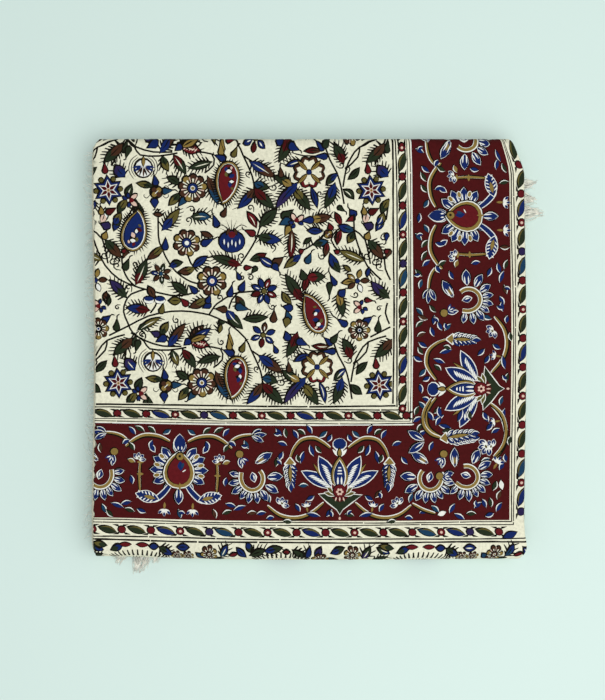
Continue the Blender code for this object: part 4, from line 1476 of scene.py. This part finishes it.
def inked_face(grid_x, grid_y):
    """The cloth's face laid flat: its corners, its triangles and the topmost ink of each."""
    grid = [(x, y) for x in grid_x for y in grid_y]
    spots, edges = list(grid), []
    for _, shape in INK:
        shape = split_at_grid(shape, grid_x, grid_y)
        start, count = len(spots), len(shape)
        spots += shape
        edges += [(start + k, start + (k + 1) % count) for k in range(count)]
    flat, faces, inks = cut_inks(spots, edges, FIRST_MERGE)
    # The first cut also holds edges between equal inks, so a second cut keeps only the others.
    kept = ink_edges(faces, inks)
    used = sorted({v for edge in kept for v in edge})
    number = {v: len(grid) + k for k, v in enumerate(used)}
    spots = grid + [flat[v] for v in used]
    return cut_inks(spots, [(number[a], number[b]) for a, b in kept], SECOND_MERGE)


def rim_edges(faces):
    """The edges that only one face has."""
    used = {}
    for face in faces:
        for a, b in sides_of(face):
            key = (min(a, b), max(a, b))
            used[key] = None if key in used else (a, b)
    return [pair for pair in used.values() if pair]


def plain_reverse(flat_front, rim, grid_x, grid_y):
    """The reverse laid flat: its corners, its triangles and the corner under each rim corner."""
    rim_corners = sorted({v for pair in rim for v in pair})
    spots = [flat_front[v] for v in rim_corners]
    spots += [(x, y) for x in grid_x[1:-1:BACK_EVERY] for y in grid_y[1:-1:BACK_EVERY]]
    cut = geometry.delaunay_2d_cdt([Vector(p) for p in spots], [], [], 0, 1e-5, True)
    number = {}
    for index, originals in enumerate(cut[3]):
        for original in originals:
            number[original] = index
    flat = [(v.x, v.y) for v in cut[0]]
    return flat, cut[2], {v: number[k] for k, v in enumerate(rim_corners)}


def folded_corners(flat, lift):
    """Where the corners of a flat face lie on the folded cloth, and the cloth's normals there."""
    points, normals = [], []
    for x, y in flat:
        across, along = place_of_pixel(x, y)
        place = Vector(folded(across, along, lift))
        beside = Vector(folded(across + SLOPE_STEP, along, lift)) - place
        beyond = Vector(folded(across, along + SLOPE_STEP, lift)) - place
        points.append(place)
        normals.append(beside.cross(beyond).normalized() * math.copysign(1, lift))
    return points, normals


def paint(mesh, sizes, inks):
    """The colour at each face's corners: the topmost ink in front, and the pale reverse."""
    palette = {name: linear(color) + [1.0] for name, color in COLORS.items()}
    colors = [palette[ink_name(k)] for k in inks]
    colors += [palette["reverse"]] * (len(sizes) - len(colors))
    layer = mesh.color_attributes.new("Ink", "FLOAT_COLOR", "CORNER")
    layer.data.foreach_set("color", np.repeat(np.array(colors, dtype=np.float32), sizes, axis=0).ravel())


def lay_out(mesh, sizes, flat, front_count):
    """Two maps of the cloth: its flat size for the weave, and the bake map with the face large."""
    loops = np.empty(len(mesh.loops), dtype=np.int32)
    mesh.loops.foreach_get("vertex_index", loops)
    uv = np.array(flat)[loops] * PIXEL
    mesh.uv_layers.new(name="Flat").data.foreach_set("uv", uv.astype(np.float32).ravel())
    places = [(bake_place(x, *CLOTH_X, *BAKED_X), 1 - bake_place(y, *CLOTH_Y, *BAKED_Y)) for x, y in flat]
    bake = np.array(places)[loops]
    is_back = np.repeat(np.arange(len(sizes)) >= front_count, sizes)
    bake[is_back, 0] = 0.95 + 0.04 * bake[is_back, 0]
    mesh.uv_layers.new(name="OFBake").data.foreach_set("uv", bake.astype(np.float32).ravel())


def add_piece(name, mesh):
    """An object for the mesh, in the scene."""
    piece = bpy.data.objects.new(name, mesh)
    bpy.context.scene.collection.objects.link(piece)
    return piece


def cloth_piece():
    """The whole cloth: its inked face, its plain reverse and the rim between them."""
    grid_x = marks(SECTION, TOP_ACROSS, TOP_X, TURN_STEP_ACROSS)
    grid_y = marks(PATH, TOP_ALONG, TOP_Y, TURN_STEP_ALONG)
    flat_front, front_faces, inks = inked_face(grid_x, grid_y)
    rim = rim_edges(front_faces)
    flat_back, back_faces, under = plain_reverse(flat_front, rim, grid_x, grid_y)
    count = len(flat_front)
    faces = front_faces + [[count + v for v in reversed(f)] for f in back_faces]
    faces += [[b, a, count + under[a], count + under[b]] for a, b in rim]
    points, normals = folded_corners(flat_front, CLOTH_THICK / 2)
    back_points, back_normals = folded_corners(flat_back, -CLOTH_THICK / 2)
    mesh = bpy.data.meshes.new("tablecloth")
    mesh.from_pydata(points + back_points, [], faces)
    sizes = np.array([len(f) for f in faces])
    paint(mesh, sizes, inks)
    lay_out(mesh, sizes, flat_front + flat_back, len(front_faces))
    mesh.shade_smooth()
    mesh.normals_split_custom_set_from_vertices(normals + back_normals)
    mesh.materials.append(printed_cotton())
    piece = add_piece("tablecloth", mesh)
    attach(piece, "root")
    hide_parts("cloth")
    return piece


# Materials
class Nodes:
    """A short way to add and join shader nodes."""

    def __init__(self, name):
        self.material = bpy.data.materials.new(name)
        self.material.use_nodes = True
        self.tree = self.material.node_tree
        self.shader = self.tree.nodes["Principled BSDF"]

    def add(self, kind, values, **settings):
        """A node with its values and links set, as its first output. A noise gives its factor."""
        node = self.tree.nodes.new(kind)
        for key, value in settings.items():
            setattr(node, key, value)
        for key, value in values.items():
            if isinstance(value, bpy.types.NodeSocket):
                self.tree.links.new(value, node.inputs[key])
            else:
                node.inputs[key].default_value = value
        return node.outputs["Fac"] if "Fac" in node.outputs else node.outputs[0]

    def remap(self, value, low, high, start=0.3, end=0.7):
        """A value that runs from start to end, made to run from low to high."""
        ranges = {"From Min": start, "From Max": end, "To Min": low, "To Max": high}
        return self.add("ShaderNodeMapRange", {"Value": value, **ranges})

    def scaled(self, color, factor):
        return self.add("ShaderNodeVectorMath", {0: color, "Scale": factor}, operation="SCALE")

    def finish(self, color, relief, strength, distance, roughness, specular):
        """The shader's own settings, with its colour and its relief."""
        bump = self.add("ShaderNodeBump", {"Strength": strength, "Distance": distance, "Height": relief})
        self.tree.links.new(color, self.shader.inputs["Base Color"])
        self.tree.links.new(bump, self.shader.inputs["Normal"])
        self.shader.inputs["Roughness"].default_value = roughness
        self.shader.inputs["Specular IOR Level"].default_value = specular
        return self.material


def printed_cotton():
    """Plain-woven cotton with soaked-in ink: a fine weave with painted shade between its yarns, patchy ink
    and soft yarn slubs.
    """
    nodes = Nodes("printed_cotton_print")
    ink = nodes.add("ShaderNodeVertexColor", {}, layer_name="Ink")
    flat = nodes.add("ShaderNodeUVMap", {}, uv_map="Flat")

    speckle = {"Vector": flat, "Scale": 420.0, "Detail": 3.0, "Roughness": 0.6}
    blotch = nodes.add("ShaderNodeTexNoise", speckle)
    patch = nodes.add("ShaderNodeTexNoise", {"Vector": flat, "Scale": 26.0, "Detail": 2.0})
    gains = {0: nodes.remap(blotch, 0.86, 1.12), 1: nodes.remap(patch, 0.95, 1.05)}
    gain = nodes.add("ShaderNodeMath", gains, operation="MULTIPLY")
    tinted = nodes.scaled(ink, gain)

    yarn = {"Vector": flat, "Scale": 330.0, "Distortion": 1.2, "Detail": 1.0, "Detail Scale": 0.4}
    warp = nodes.add("ShaderNodeTexWave", yarn, bands_direction="X")
    weft = nodes.add("ShaderNodeTexWave", yarn, bands_direction="Y")
    weave = nodes.add("ShaderNodeMath", {0: warp, 1: weft}, operation="MULTIPLY")
    slub = nodes.add("ShaderNodeTexNoise", {"Vector": flat, "Scale": 900.0, "Detail": 2.0})
    relief = nodes.add("ShaderNodeMath", {0: slub, 1: 0.6, 2: weave}, operation="MULTIPLY_ADD")
    # Painted shade: the ink colour is darker where the weave's relief is low, between the yarns.
    color = nodes.scaled(tinted, nodes.remap(weave, 0.94, 1.03, 0.0, 0.7))
    return nodes.finish(color, relief, 0.35, 0.0002, 0.88, 0.08)


def fringe_cotton():
    """Undyed cotton thread, twisted and a little mottled."""
    nodes = Nodes("fringe_cotton_thread")
    where = nodes.tree.nodes.new("ShaderNodeTexCoord").outputs["Object"]
    mottle = nodes.add("ShaderNodeTexNoise", {"Vector": where, "Scale": 240.0, "Detail": 2.0})
    color = nodes.scaled(linear(THREAD_COLOR), nodes.remap(mottle, 0.78, 1.12))
    twist = {"Vector": where, "Scale": 900.0, "Distortion": 2.0}
    relief = nodes.add("ShaderNodeTexWave", twist, bands_direction="DIAGONAL")
    return nodes.finish(color, relief, 0.4, 0.0001, 0.92, 0.15)


# Fringe
EDGE_THREAD, LOCK_THREAD = 0.00036, 0.00092
# The edge threads: how far the first is from the corner, their spacing and their length.
EDGE_MARGIN = 0.012
EDGE_SPACING = (0.005, 0.013)
EDGE_LENGTHS = (0.006, 0.0125)
LOCK_COUNT = 120
# How far along a thread its points lie. An edge thread starts a little inside the cloth.
EDGE_PARTS = (-0.06, 0.25, 0.5, 0.75, 1.0)
LOCK_PARTS = (0.0, 0.2, 0.45, 0.7, 0.87, 1.0)


def ring_points(line, index, thick):
    """Three points round a thread at one of its places, nearer together towards its end."""
    before, after = line[max(0, index - 1)], line[min(len(line) - 1, index + 1)]
    along = (after - before).normalized()
    side = along.cross(Vector((0, 0, 1)))
    side = side.normalized() if side.length > 0.05 else Vector((0, 1, 0))
    up = side.cross(along).normalized()
    width = thick * (1 - 0.5 * index / (len(line) - 1))
    found = []
    for angle in (90, 210, 330):
        turn = math.radians(angle)
        found.append(line[index] + (side * math.cos(turn) + up * math.sin(turn)) * width / 2)
    return found


def thread_piece(name, node, threads, thick, material):
    """Three-sided threads along lists of points, in place of one of the solids."""
    points, faces = [], []
    for line in threads:
        first = len(points)
        for index in range(len(line)):
            points += ring_points(line, index, thick)
        for ring in range(len(line) - 1):
            base = first + 3 * ring
            for k in range(3):
                after = (k + 1) % 3
                faces.append([base + k, base + after, base + 3 + after, base + 3 + k])
        last = len(points) - 3
        faces += [[first + 2, first + 1, first], [last, last + 1, last + 2]]
    mesh = bpy.data.meshes.new(name)
    mesh.from_pydata(points, [], faces)
    mesh.shade_smooth()
    mesh.materials.append(material)
    piece = add_piece(name, mesh)
    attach(piece, "root")
    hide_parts(node)
    return piece


def edge_thread(root):
    """A loose thread that hangs out from an edge of the cloth and leans to a side."""
    length = DICE.uniform(*EDGE_LENGTHS)
    lean = 0.45 * math.sin(root.y * 60) + DICE.uniform(-0.4, 0.4)
    stiff = DICE.uniform(0.5, 1.0)
    line = []
    for part in EDGE_PARTS:
        out = length * part
        drop = min(0.55 * length * max(0.0, part) ** 2 / stiff, root.z - 0.0006)
        line.append(Vector((root.x - out * (1 - 0.22 * part), root.y + lean * out * part, root.z - drop)))
    return line


def edge_fringe(name, node, across, material):
    """Loose warp ends along one edge of the cloth, on every flat sheet of the pack."""
    threads = []
    along = EDGE_MARGIN
    while along < FLAT_LENGTH - EDGE_MARGIN:
        if PATH.parts[int(PATH.at(along)[4])][0] == "flat":
            threads.append(edge_thread(Vector(folded(across, along, 0.0))))
        along += DICE.uniform(*EDGE_SPACING)
    return thread_piece(name, node, threads, EDGE_THREAD, material)


def lock_thread(root, lobe):
    """A loose thread from its root towards the point of a lobe, over the surface."""
    scatter = lobe["spread"]
    tip = Vector((lobe["x"] + DICE.gauss(0, scatter), lobe["y"] + DICE.gauss(0, scatter), 0.0))
    end = root.lerp(tip, DICE.uniform(0.74, 1.0))
    side = Vector((-(end - root).y, (end - root).x, 0)) * DICE.uniform(-0.16, 0.16)
    height = DICE.uniform(0.0008, 0.0052)
    line = []
    for part in LOCK_PARTS:
        place = root.lerp(end, part) + side * math.sin(math.pi * part)
        rise = math.sin(math.pi * min(1.0, part * 1.1 + 0.1)) * (1 - 0.5 * part)
        place.z = max(0.0004, 0.0005 + height * rise)
        line.append(place)
    return line


def stray_lock(name, node, roots, lobes, material):
    """A lock of loose threads on the surface that gather into a few ragged points."""
    threads = []
    for index in range(LOCK_COUNT):
        t = (index + DICE.random()) / LOCK_COUNT
        lobe = min(lobes, key=lambda row: abs(row["at"] - t) + DICE.uniform(0, 0.16))
        threads.append(lock_thread(roots[0].lerp(roots[1], t), lobe))
    return thread_piece(name, node, threads, LOCK_THREAD, material)


# The locks' roots, and the points they gather to.
RIGHT_ROOTS = (Vector((0.1700, 0.1000, 0)), Vector((0.1700, 0.1420, 0)))
FRONT_ROOTS = (Vector((-0.1180, -0.1575, 0)), Vector((-0.1530, -0.1545, 0)))
RIGHT_LOBES = (
    {"at": 0.05, "x": 0.1775, "y": 0.1010, "spread": 0.0014},
    {"at": 0.30, "x": 0.1925, "y": 0.1130, "spread": 0.0016},
    {"at": 0.55, "x": 0.1860, "y": 0.1240, "spread": 0.0016},
    {"at": 0.90, "x": 0.1850, "y": 0.1370, "spread": 0.0018},
)
FRONT_LOBES = (
    {"at": 0.05, "x": -0.1290, "y": -0.1770, "spread": 0.0020},
    {"at": 0.30, "x": -0.1400, "y": -0.1830, "spread": 0.0022},
    {"at": 0.50, "x": -0.1440, "y": -0.1840, "spread": 0.0018},
    {"at": 0.80, "x": -0.1590, "y": -0.1750, "spread": 0.0016},
    {"at": 1.00, "x": -0.1620, "y": -0.1720, "spread": 0.0012},
)


def fringes():
    """Both edge fringes and both stray locks."""
    thread = fringe_cotton()
    return [
        edge_fringe("fringe_outer_threads", "fringe_edge_outer", 0.0, thread),
        edge_fringe("fringe_inner_threads", "fringe_edge_inner", FLAT_WIDTH, thread),
        stray_lock("fringe_lock_right_threads", "fringe_lock_right", RIGHT_ROOTS, RIGHT_LOBES, thread),
        stray_lock("fringe_lock_front_threads", "fringe_lock_front", FRONT_ROOTS, FRONT_LOBES, thread),
    ]


# Stage
FLOOR_REACH = 2.0
CAMERA_HEIGHT = 0.90
TOP_OF_PACK = 0.0266
SENSOR_HEIGHT = 36.0
LAMP_PLACE = (0.45, -0.28, 1.35)
LAMP_SIZE, LAMP_ENERGY = 1.6, 14.5
DAYLIGHT = 0.60


def pale_floor():
    """The plain pale surface under the pack."""
    nodes = Nodes("floor")
    nodes.shader.inputs["Base Color"].default_value = (*linear(FLOOR_COLOR), 1)
    nodes.shader.inputs["Roughness"].default_value = 0.7
    nodes.shader.inputs["Specular IOR Level"].default_value = 0.2
    mesh = bpy.data.meshes.new("floor")
    corners = ((-1, -1), (1, -1), (1, 1), (-1, 1))
    mesh.from_pydata([(x * FLOOR_REACH, y * FLOOR_REACH, 0) for x, y in corners], [], [[0, 1, 2, 3]])
    mesh.materials.append(nodes.material)
    floor = add_piece("floor", mesh)


def daylight():
    """Soft light from all round, and a large soft lamp above."""
    world = bpy.data.worlds.new("soft_daylight")
    world.use_nodes = True
    world.node_tree.nodes["Background"].inputs["Color"].default_value = (0.98, 1.0, 1.0, 1)
    world.node_tree.nodes["Background"].inputs["Strength"].default_value = DAYLIGHT
    bpy.context.scene.world = world
    light = bpy.data.lights.new("window_light", "AREA")
    light.shape = "RECTANGLE"
    light.size, light.size_y = LAMP_SIZE, LAMP_SIZE
    light.energy = LAMP_ENERGY
    light.color = (1.0, 1.0, 0.99)
    lamp = add_piece("window_light", light)
    lamp.location = LAMP_PLACE
    lamp.rotation_euler = (Vector((0, 0, 0)) - lamp.location).to_track_quat("-Z", "Y").to_euler()


def camera():
    """A camera straight over the pack, with the pack where it is in the photo."""
    eye = bpy.data.cameras.new("camera")
    eye.sensor_fit = "VERTICAL"
    eye.sensor_height = SENSOR_HEIGHT
    eye.lens = SENSOR_HEIGHT / PHOTO_HEIGHT / PIXEL * CAMERA_HEIGHT
    view = add_piece("camera", eye)
    view.location = (-(MIDDLE_X - PHOTO_WIDTH / 2) * PIXEL, 0.0, TOP_OF_PACK + CAMERA_HEIGHT)
    bpy.context.scene.camera = view
    bpy.context.scene.view_settings.view_transform = "Standard"


pale_floor()
daylight()
camera()
draw_print()
tablecloth = cloth_piece()
fringe_pieces = fringes()
